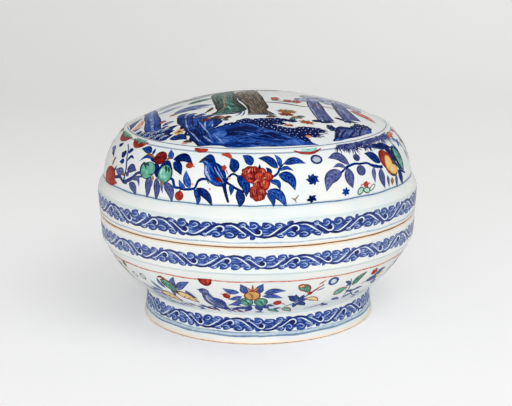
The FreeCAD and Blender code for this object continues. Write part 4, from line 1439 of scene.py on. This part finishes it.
def paint_peak(films, middle, low, top, width, tone):
    """A rounded peak with ridges that run down from its summit into the mist."""
    slate, blue = films.slate, films.blue
    rise = top - low
    left, right = [], []
    for share, reach in ((0, 0.52), (0.25, 0.4), (0.5, 0.3), (0.75, 0.17), (0.93, 0.07), (1, 0.02)):
        left.append((middle - width * reach, low + rise * share))
        right.append((middle + width * reach * 0.9, low + rise * share))
    slate.panel(left, right, tone=tone, rim=0.15, streaks=0.3)
    for share in (-0.3, -0.12, 0.1, 0.28):
        ridge = [(middle + width * share * 0.1, top - rise * 0.05),
                 (middle + width * share * 0.7, low + rise * 0.5),
                 (middle + width * share * 1.2, low + rise * 0.14)]
        slate.stroke(ridge, (0.6, 2, 0.5), tone=0.05)
    outline = left[1:] + right[:0:-1]
    blue.stroke(outline, (0.6, 1.6, 1.8, 1.6, 0.6), tone=0.2)
    for step in range(5):
        up = low + rise * (0.3 + 0.14 * step)
        across = middle - width * (0.3 - 0.055 * step)
        blue.blob((across, up), (4.2, 3), lobes=5, depth=0.25, inner=0.3, outer=0.05)


def paint_right_rock(films):
    """A grey-blue hill at the right of the front, with pines on its brow."""
    blue, slate = films.blue, films.slate
    brow = [(70, -76), (74, -70), (80, -68), (87, -64), (92, -56), (98, -49), (103, -57)]
    foot = [(66.5, -98.5), (73, -94.5), (79, -89), (86, -82), (92, -75), (98, -67.5), (103.5, -60)]
    blue.panel(brow, foot, tone=0.5, rim=0.25, streaks=0.2)
    slate.grain(brow[:4], foot[:4], 6, (0.0, 0.4), 3)
    slate.grain(brow[3:], foot[3:], 5, (0.0, 0.3), 2.4)
    for centre, size, turn in (((74, -82), (9, 15), -25), ((84, -76), (8, 12), -30),
                               ((94, -66), (8, 12), -40)):
        slate.blob(centre, size, turn=turn, inner=0.5, outer=0.2)
    strokes(blue,
            ([(79, -71), (73, -92)], (0.6, 2.4, 0.8), 0.12), ([(88, -66), (81, -86)], (0.6, 2.4, 0.8), 0.12),
            ([(95, -58), (90, -76)], (0.6, 2.4, 0.8), 0.12),
            ([(70, -76), (71, -86), (66, -98.5)], (1.6, 2.4, 1.2), 0.05), (brow, (1.4, 2.4, 1.6), 0.05))
    foliage(films, ((66, -77), (9, 12), 20), ((71, -79), (7, 9), 20), ((93, -56), (12, 12), 45),
            ((99, -52), (10, 10), 10), ((88, -63), (10, 8), 45), ((80, -69), (7, 5), 20))


def paint_crowns(films):
    """Crowns of pine needles over the green rock and the brown one."""
    brown = films.brown
    for film, crowns in ((films.green, ((-46, 30), (-30, 42), (-56, 42), (-40, 54), (-20, 30))),
                         (films.blue, ((-4, 34), (12, 30), (0, 50), (18, 44), (-14, 48)))):
        for across, up in crowns:
            film.blob((across, up), (20, 11), lobes=9, depth=0.1, inner=0.6, outer=0.3)
            for needle in np.linspace(10, 170, 15):
                turn = math.radians(needle)
                tip = (across + 12 * math.cos(turn), up - 2 + 8 * math.sin(turn))
                film.stroke([(across, up - 3), tip], (0.6, 1.2, 0.3), tone=0.12)
            twig = [(across - 7, up - 4), (across, up - 3), (across + 7, up - 4.5)]
            brown.stroke(twig, (0.6, 1.4, 0.6), tone=0.1)
    for root, *tips in (((-32, 18), (-44, 27), (-24, 27), (-32, 38)),
                        ((-10, 16), (-3, 31), (8, 27), (-12, 44))):
        for tip in tips:
            bend = ((root[0] + tip[0]) / 2 + 2, (root[1] + tip[1]) / 2)
            brown.stroke([root, bend, tip], (2.6, 2, 1), tone=0.15)


def paint_cloud(blue, across, up):
    """A small cloud: three curled puffs on one line."""
    for shift, size in ((-8, 8), (-1, 11), (7, 9)):
        middle = across + shift
        blue.blob((middle, up + size / 6), (size, size * 0.8), inner=0.97, outer=0.45)
        curl = [(middle - size * 0.3, up), (middle, up + size * 0.3), (middle + size * 0.25, up + 0.5),
                (middle, up)]
        blue.stroke(curl, (0.4, 0.9, 0.4), tone=0.3)
    blue.stroke([(across - 16, up - 3), (across, up), (across + 16, up - 2)], (0.6, 2, 0.6), tone=0.5)


def paint_flying_bird(blue, across, up):
    """A far bird: two wings and a body."""
    strokes(blue,
            ([(across - 8, up + 1), (across - 3, up + 1.5), (across, up - 3)], (0.6, 2.6, 1.4), 0.1),
            ([(across + 8, up), (across + 3, up + 1.5), (across, up - 3)], (0.6, 2.6, 1.4), 0.1),
            ([(across - 3, up - 6), (across, up - 3), (across + 3, up - 1)], (0.6, 1.8, 0.8), 0.15))


def paint_far_side(films):
    """Peaks, clouds, flying birds and the sun, over the head of the landscape."""
    for peak in ((-84, 26, 68, 34, 0.55), (-56, 56, 96, 40, 0.4), (-16, 60, 92, 36, 0.6),
                 (50, 40, 94, 42, 0.45), (86, 26, 64, 34, 0.6), (22, 58, 88, 30, 0.7)):
        paint_peak(films, *peak)
    for cloud in ((-74, 50), (-36, 62), (0, 62), (34, 44), (66, 36), (18, 100), (-30, 106), (74, 84),
                  (-84, 76), (-88, 24), (90, 22)):
        paint_cloud(films.blue, *cloud)
    for bird in ((-8, 112), (-56, 104), (44, 106)):
        paint_flying_bird(films.blue, *bird)
    films.red.blob((3, 82), (13, 13), inner=0.6, outer=0.4)
    foliage(films, ((-100, 40), (16, 11), 60), ((100, 40), (16, 11), -60), ((-66, 46), (20, 9), 10),
            ((66, 50), (18, 9), -10))


# The painting, zone by zone

def paint_shoulder():
    """Fruit, flowers, birds and insects all round the shoulder, in another order at the back."""
    surface = Side("lid", SHOULDER_LOW, CROWN_TOP, SHOULDER_GIRTH)
    films = Films(surface, seed=10)
    seen_in_photo = (paint_peach_and_sprig, paint_fruit_cluster, paint_bird, paint_peony, paint_florets,
                     paint_berry_branch, paint_pomegranate, paint_pine)
    at_the_back = [
        (paint_peony, 239, 1), (paint_bird, 264, -1), (paint_pomegranate, 230, 1), (paint_pine, 230, 1),
        (paint_berry_branch, 563, -1), (paint_fruit_cluster, 646, 1), (paint_florets, 552, 1),
        (paint_peach_and_sprig, 497, -1),
    ]
    for paint, across, side in [(paint, 0, 1) for paint in seen_in_photo] + at_the_back:
        films.moved(across=across, up=-0.5, stretch=(side, 1))
        paint(films)
    films.moved()
    films.wash.ring(0.9, 1.3, tone=0.15, wave=0.15)
    films.build("shoulder", "lid")


def paint_dome():
    """The landscape on the lid's top: rocks, a waterfall, trees, peaks and clouds."""
    films = Films(Dome("lid", DOME_RADIUS), seed=20)
    for paint in (paint_crowns, paint_middle, paint_waterfall, paint_garden, paint_front_rocks,
                  paint_left_flowers, paint_right_rock, paint_far_side):
        films.moved()
        paint(films)
    films.build("top", "lid")


def paint_bands():
    """Wave scrolls on the bands of the lid and the base, with pale lines beside them."""
    surface = Side("lid", JOINT + 1, SHOULDER_LOW - 0.5, BAND_GIRTH)
    films = Films(surface, seed=30)
    paint_scroll(films, surface.up_at(109.7), surface.up_at(123.7), periods=15, crest=-25.5, tone=0.24)
    films.wash.ring(surface.up_at(105.7), 1.3, tone=0.7)
    films.build("lid_band", "lid")
    surface = Side("base", BOWL_TOP + 2, JOINT - 1, BAND_GIRTH)
    films = Films(surface, seed=40)
    paint_scroll(films, surface.up_at(81.7), surface.up_at(94.6), periods=16, crest=-20.5, tone=0.32)
    films.build("base_band", "base")


def paint_bowl():
    """Three repeats of the bowl's fruit, bird and sprays, the middle one mirrored."""
    surface = Side("base", FOOT_TOP + 0.8, BOWL_TOP, BOWL_GIRTH)
    films = Films(surface, seed=50)
    for third, side in enumerate((1, -1, 1)):
        films.moved(across=third * surface.around / 3, up=-1, stretch=(side, 1))
        for paint in (paint_bowl_pomegranate, paint_bowl_bird, paint_bowl_melon, paint_bowl_sprays):
            paint(films)
    films.moved()
    films.red.ring(surface.up_at(69.2), 1.3, tone=0.75)
    films.build("bowl", "base")


def paint_foot():
    """The scroll round the foot, with pale rings below it and two cracks in the glaze."""
    surface = Side("base", 1, FOOT_TOP - 0.2, FOOT_GIRTH)
    films = Films(surface, seed=60)
    paint_scroll(films, surface.up_at(11.8), surface.up_at(24.2), periods=12, crest=-20.5, tone=0.3)
    films.wash.ring(surface.up_at(9), 4.4, tone=0.85)
    films.wash.ring(surface.up_at(10.6), 1.2, tone=0.45)
    films.wash.ring(surface.up_at(7.4), 1.7, tone=0.3)
    for crack in ([(-105.4, 17.7), (-107, 14), (-110.3, 9.6)], [(22.8, 14.3), (21.2, 10.8)]):
        path = [(across, surface.up_at(height)) for across, height in crack]
        films.brown.stroke(path, (0.3, 0.8, 0.3), tone=0.35)
    films.build("foot", "base")


paint_shoulder()
paint_dome()
paint_bands()
paint_bowl()
paint_foot()


# Stage, light and camera

CAMERA_LENS = 85.0
CAMERA_DISTANCE = 1.1657
CAMERA_AIM = 0.1032
CAMERA_RISE = math.radians(13.92)
CAMERA_ROLL = math.radians(-0.4)
CAMERA_SHIFT = -1.5 / 512
FLOOR_FRONT = 6.0
FLOOR_BACK = 2.2
FLOOR_HALF_WIDTH = 6
FLOOR_BEND = 0.9
FLOOR_BEND_STEPS = 12
BACKDROP_RISE = 2.6
SEEN_FLOOR_GLOW = 0.17
SKY_STRENGTH = 0.53
KEY_LIGHT = {"place": (0.9, -1.0, 1.6), "size": (1.4, 1.2), "power": 9.2}
FRONT_LIGHT = {"place": (-0.3, -2.2, 0.4), "size": (2.4, 0.8), "power": 19}


def make_camera():
    """The fitted view of the photograph."""
    camera = bpy.data.cameras.new("camera")
    camera.lens = CAMERA_LENS
    camera.shift_x = CAMERA_SHIFT
    holder = bpy.data.objects.new("camera", camera)
    bpy.context.scene.collection.objects.link(holder)
    away = Vector((0, -math.cos(CAMERA_RISE), math.sin(CAMERA_RISE)))
    holder.location = Vector((0, 0, CAMERA_AIM)) + away * CAMERA_DISTANCE
    turn = away.to_track_quat("Z", "Y").to_matrix().to_4x4()
    holder.rotation_euler = turn.to_euler()
    holder.rotation_euler.rotate_axis("Z", CAMERA_ROLL)
    bpy.context.scene.camera = holder


def floor_material():
    """Near white, with painted shade that makes it a little darker far behind, most at the left, and glowing
    where the camera sees it.
    """
    nodes = Nodes("floor", 0.9, 0.0)
    place = nodes.place()
    # Painted shade: the far floor and backdrop drawn darker, most at the left, where less light falls
    far = nodes.spread(place["Y"], -0.2, 1.8)
    right = nodes.spread(place["X"], -0.7, 0.7)
    shaded_backdrop = nodes.mix(right, colour(233, 233, 231), colour(248, 248, 246))
    nodes.paint(nodes.mix(far, colour(250, 250, 250), shaded_backdrop))
    seen = nodes.add("LightPath").outputs["Is Camera Ray"]
    nodes.shader.inputs["Emission Color"].default_value = (1, 1, 1, 1)
    nodes.link(nodes.maths("MULTIPLY", seen, SEEN_FLOOR_GLOW), nodes.shader.inputs["Emission Strength"])
    return nodes.material


def make_floor():
    """A pale sweep: a flat floor that curves up far behind the box."""
    outline = [(-FLOOR_FRONT, 0.0)]
    for step in range(FLOOR_BEND_STEPS + 1):
        turn = math.pi / 2 * step / FLOOR_BEND_STEPS
        outline.append((FLOOR_BACK - FLOOR_BEND + FLOOR_BEND * math.sin(turn),
                        FLOOR_BEND - FLOOR_BEND * math.cos(turn)))
    outline.append((FLOOR_BACK, BACKDROP_RISE))
    corners = [(side * FLOOR_HALF_WIDTH, y, z) for y, z in outline for side in (-1, 1)]
    faces = [(2 * i, 2 * i + 1, 2 * i + 3, 2 * i + 2) for i in range(len(outline) - 1)]
    mesh = bpy.data.meshes.new("floor")
    mesh.from_pydata(corners, [], faces)
    mesh.shade_smooth()
    mesh.materials.append(floor_material())
    floor = bpy.data.objects.new("floor", mesh)
    bpy.context.scene.collection.objects.link(floor)


def make_lamp(name, place, size, power, aim=(0, 0, 0.1)):
    """A rectangular lamp that faces the box."""
    lamp = bpy.data.lights.new(name, "AREA")
    lamp.shape = "RECTANGLE"
    lamp.size, lamp.size_y = size
    lamp.energy = power
    holder = bpy.data.objects.new(name, lamp)
    bpy.context.scene.collection.objects.link(holder)
    holder.location = place
    way = Vector(place) - Vector(aim)
    holder.rotation_euler = way.to_track_quat("Z", "Y").to_euler()


def make_light():
    """A white sky, a lamp high at the right and a wide one before the box."""
    world = bpy.data.worlds.new("studio")
    bpy.context.scene.world = world
    world.use_nodes = True
    sky = world.node_tree.nodes["Background"]
    sky.inputs["Color"].default_value = (1, 1, 1, 1)
    sky.inputs["Strength"].default_value = SKY_STRENGTH
    make_lamp("key_light", **KEY_LIGHT)
    make_lamp("front_light", **FRONT_LIGHT)


make_camera()
make_floor()
make_light()
bpy.context.scene.view_settings.view_transform = "Standard"
